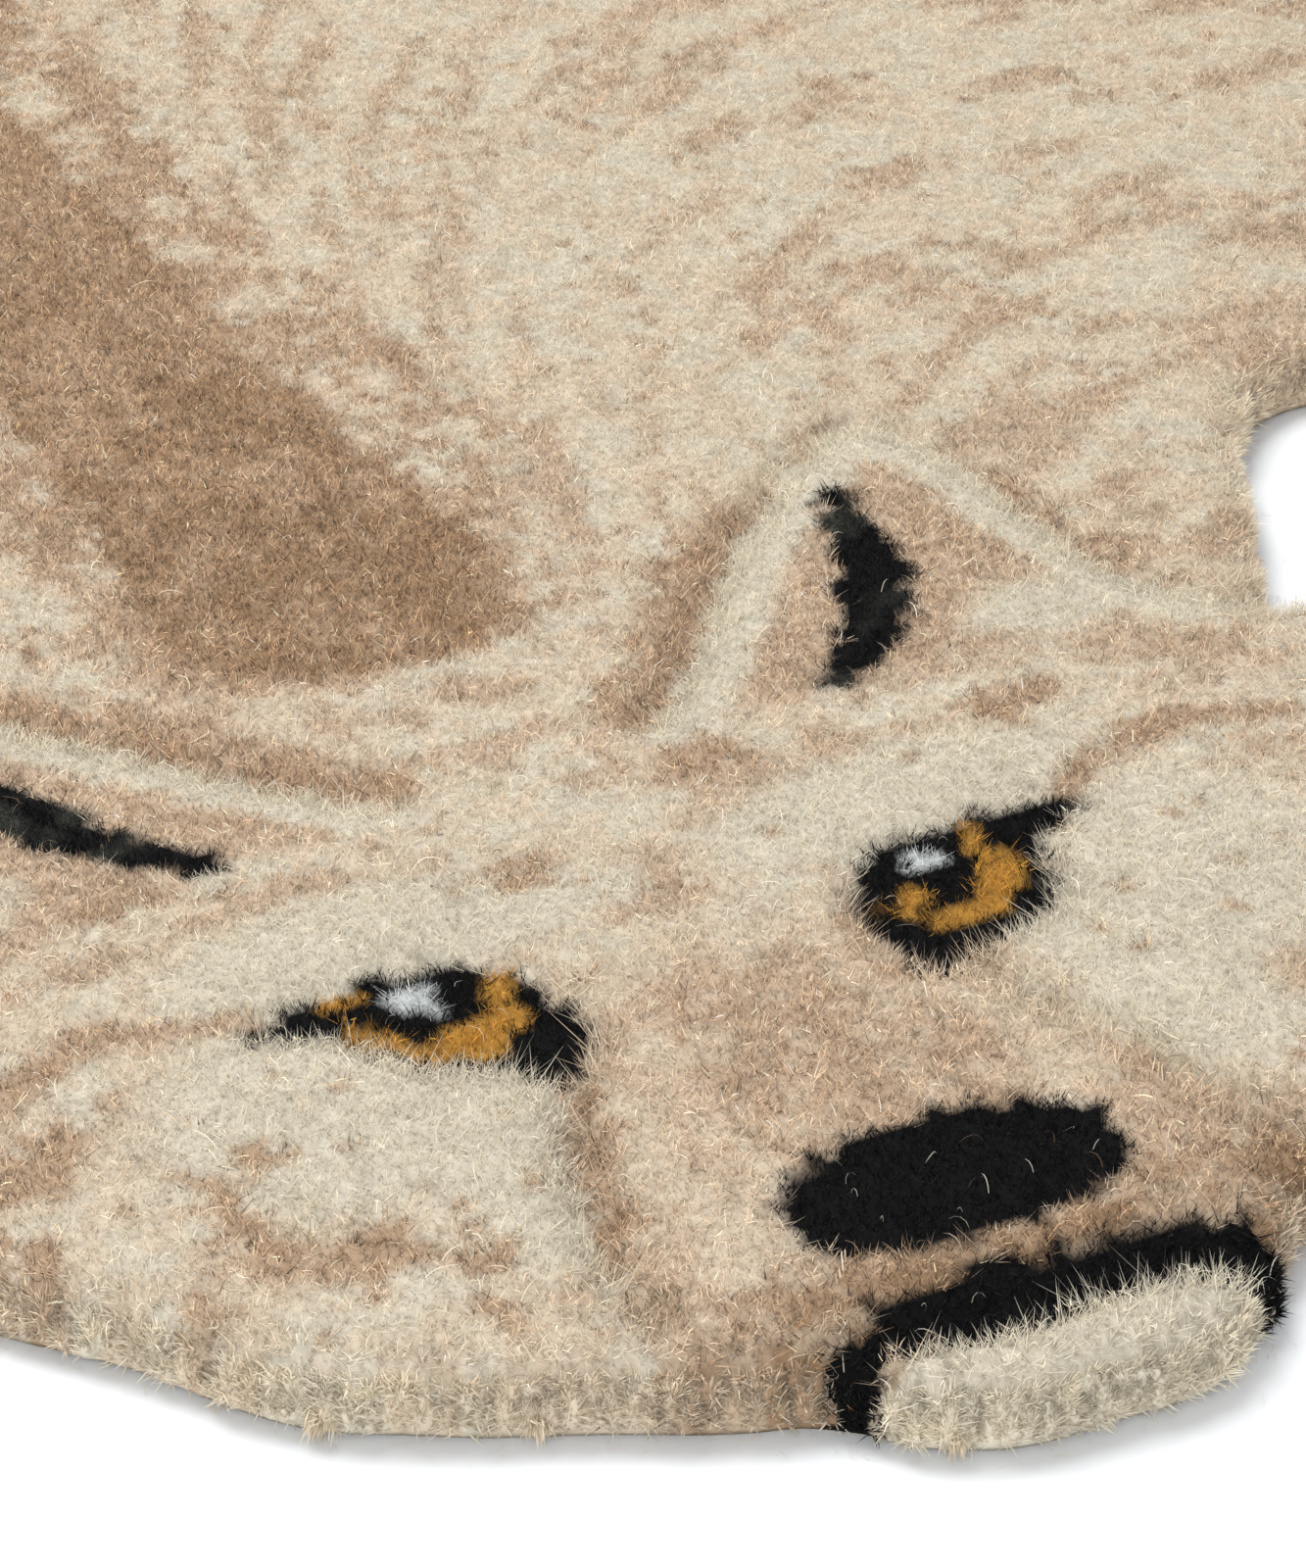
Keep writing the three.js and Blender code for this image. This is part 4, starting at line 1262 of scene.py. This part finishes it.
bow = np.cross(side, way) * (0.4 * rng.normal(size=RIM_FIBRES))[:, None]
steps = np.linspace(0, 1, 3)
start = place - normal * 0.35
centre = start[:, None] + way[:, None] * (length[:, None] * steps)[:, :, None]
centre = centre + bow[:, None] * (length[:, None] * steps**2)[:, :, None]
centre[:, :, 2] = np.clip(centre[:, :, 2], 0.12, 16)
half = np.array([0.13, 0.12, 0.0])[None] * rng.uniform(0.7, 1.25, (RIM_FIBRES, 1))
coat = coat_at(place[:, 0] - 3 * normal[:, 0], place[:, 1] - 3 * normal[:, 1])
# Below 11 mm the fibres are mixed up to halfway with cream, except where the yarn is black.
pale = 0.5 * (coat[:, :3].mean(axis=1) > 0.1) * smooth((11 - place[:, 2]) / 4)
coat = lay(coat, pale, yarn_of("cream"))
# Painted shade and light: each bundle is lighter in its middle and darker towards the gap beside it, and each
# fibre is darker at its root and lighter at its tip.
tone = (1 + 0.2 * (lattice(bundle_i, bundle_j, 8) - 0.5)) * mix(0.7, 1.05, dome)
add_blades("rim_fibres", centre, half, side, coat, tone, np.array([0.85, 1.0, 1.1]))

# %% [markdown]
# Wool sheds. Single hairs work out of the pile, curl over it and lie on the floor beside the rim, and now
# and then a cut yarn hangs out. A hair is a chain of short steps whose heading turns a little each time.


# %% Loose hairs
def curls(name, place, length, rise, width, coat):
    """Hairs that start at the places: their heading turns evenly, and their height follows half a sine."""
    number = len(place)
    steps = np.linspace(0, 1, 5)
    heading = rng.random(number) * 2 * np.pi
    angle = heading[:, None] + (1.6 * rng.normal(size=number))[:, None] * steps
    run = length[:, None] / 4 * (0.25 + 0.75 * steps)
    centre = np.empty((number, 5, 3))
    centre[:, :, 0] = place[:, :1] + np.cumsum(np.cos(angle) * run, axis=1)
    centre[:, :, 1] = place[:, 1:2] + np.cumsum(np.sin(angle) * run, axis=1)
    centre[:, :, 2] = place[:, 2:3] + rise[:, None] * (0.3 + np.sin(np.pi * (0.12 + 0.6 * steps)))
    side = np.column_stack([-np.sin(heading), np.cos(heading), np.zeros(number)])
    side = side + 0.4 * rng.normal(size=(number, 3))
    side /= np.linalg.norm(side, axis=1)[:, None]
    half = np.array([0.07, 0.075, 0.075, 0.065, 0.0])[None] * width[:, None]
    add_blades(name, centre, half, side, coat, 1, np.ones(5))


HAIRS, FLOOR_HAIRS = 6000, 320
rim_favour = 1 + 2.5 * is_wall
place, normal, _, _ = scatter(areas * near_share * rim_favour, HAIRS)
coat = coat_at(place[:, 0], place[:, 1])
on_black = coat[:, :3].mean(axis=1) < 0.08
width = rng.uniform(0.7, 1.15, HAIRS) * ~(on_black & (rng.random(HAIRS) < 0.75))
dark = rng.random(HAIRS) < 0.3 + 0.4 * (coat[:, 3] > 0.25)
hair_yarn = np.where(dark[:, None], yarn_of("dark_brown") * 0.7, yarn_of("cream") * 1.1)
coat = lay(coat, np.full(HAIRS, 0.6), hair_yarn)
curls("loose_hairs", place, rng.gamma(4.0, 0.8, HAIRS) + 1.2, rng.uniform(1.6, 2.7, HAIRS), width, coat)

beside_rim = np.flatnonzero(near_edge > 0.5)
chosen = rng.choice(beside_rim, FLOOR_HAIRS)
away = rng.gamma(1.6, 1.3, FLOOR_HAIRS)
place = np.column_stack([edge[chosen] + out[chosen] * away[:, None], np.full(FLOOR_HAIRS, 0.15)])
coat = np.repeat((yarn_of("beige") * 0.8)[None], FLOOR_HAIRS, axis=0)
curls("floor_hairs", place, rng.uniform(1.5, 5.0, FLOOR_HAIRS), rng.uniform(0.1, 0.6, FLOOR_HAIRS),
      rng.uniform(0.35, 0.7, FLOOR_HAIRS), coat)

# %% Stray yarn ends
STRAY_ENDS = [(-101, 46, 3.2), (-27, 3, 2.6), (-72, 36, 2.0)]  # across, along, and length in mm
PER_END = 260
ends = []
for across, along_cat, end_length in STRAY_ENDS:
    nearest = int(np.argmin(np.hypot(edge[:, 0] - across, edge[:, 1] - along_cat)))
    root = np.append(edge[nearest] - out[nearest] * 0.5, 3.4)
    hang = np.append(out[nearest], -0.42)
    spread = rng.normal(size=(PER_END, 3)) * 0.75
    t = np.linspace(0, 1, 3)[None, :, None]
    fan = 1 + 0.6 * t * rng.random((PER_END, 1, 1))
    length = end_length * rng.uniform(0.6, 1.0, (PER_END, 1, 1))
    centre = root + spread[:, None] * fan + hang[None, None] * length * t
    centre[:, :, 2] = np.clip(centre[:, :, 2], 0.15, 16)
    ends.append(centre)
centre = np.concatenate(ends)
half = np.array([0.12, 0.12, 0.0])[None] * rng.uniform(0.7, 1.3, (len(centre), 1))
coat = np.repeat(mix(yarn_of("cream"), yarn_of("beige"), 0.6)[None], len(centre), axis=0)
way = centre[:, 2] - centre[:, 0]
# Painted shade and light: each end is darker at its root and lighter at its tip.
add_blades("stray_yarn_ends", centre, half, across_way(way), coat, 1, np.array([0.85, 1.0, 1.05]))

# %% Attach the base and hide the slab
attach(base, "root")
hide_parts("tufted_rug")
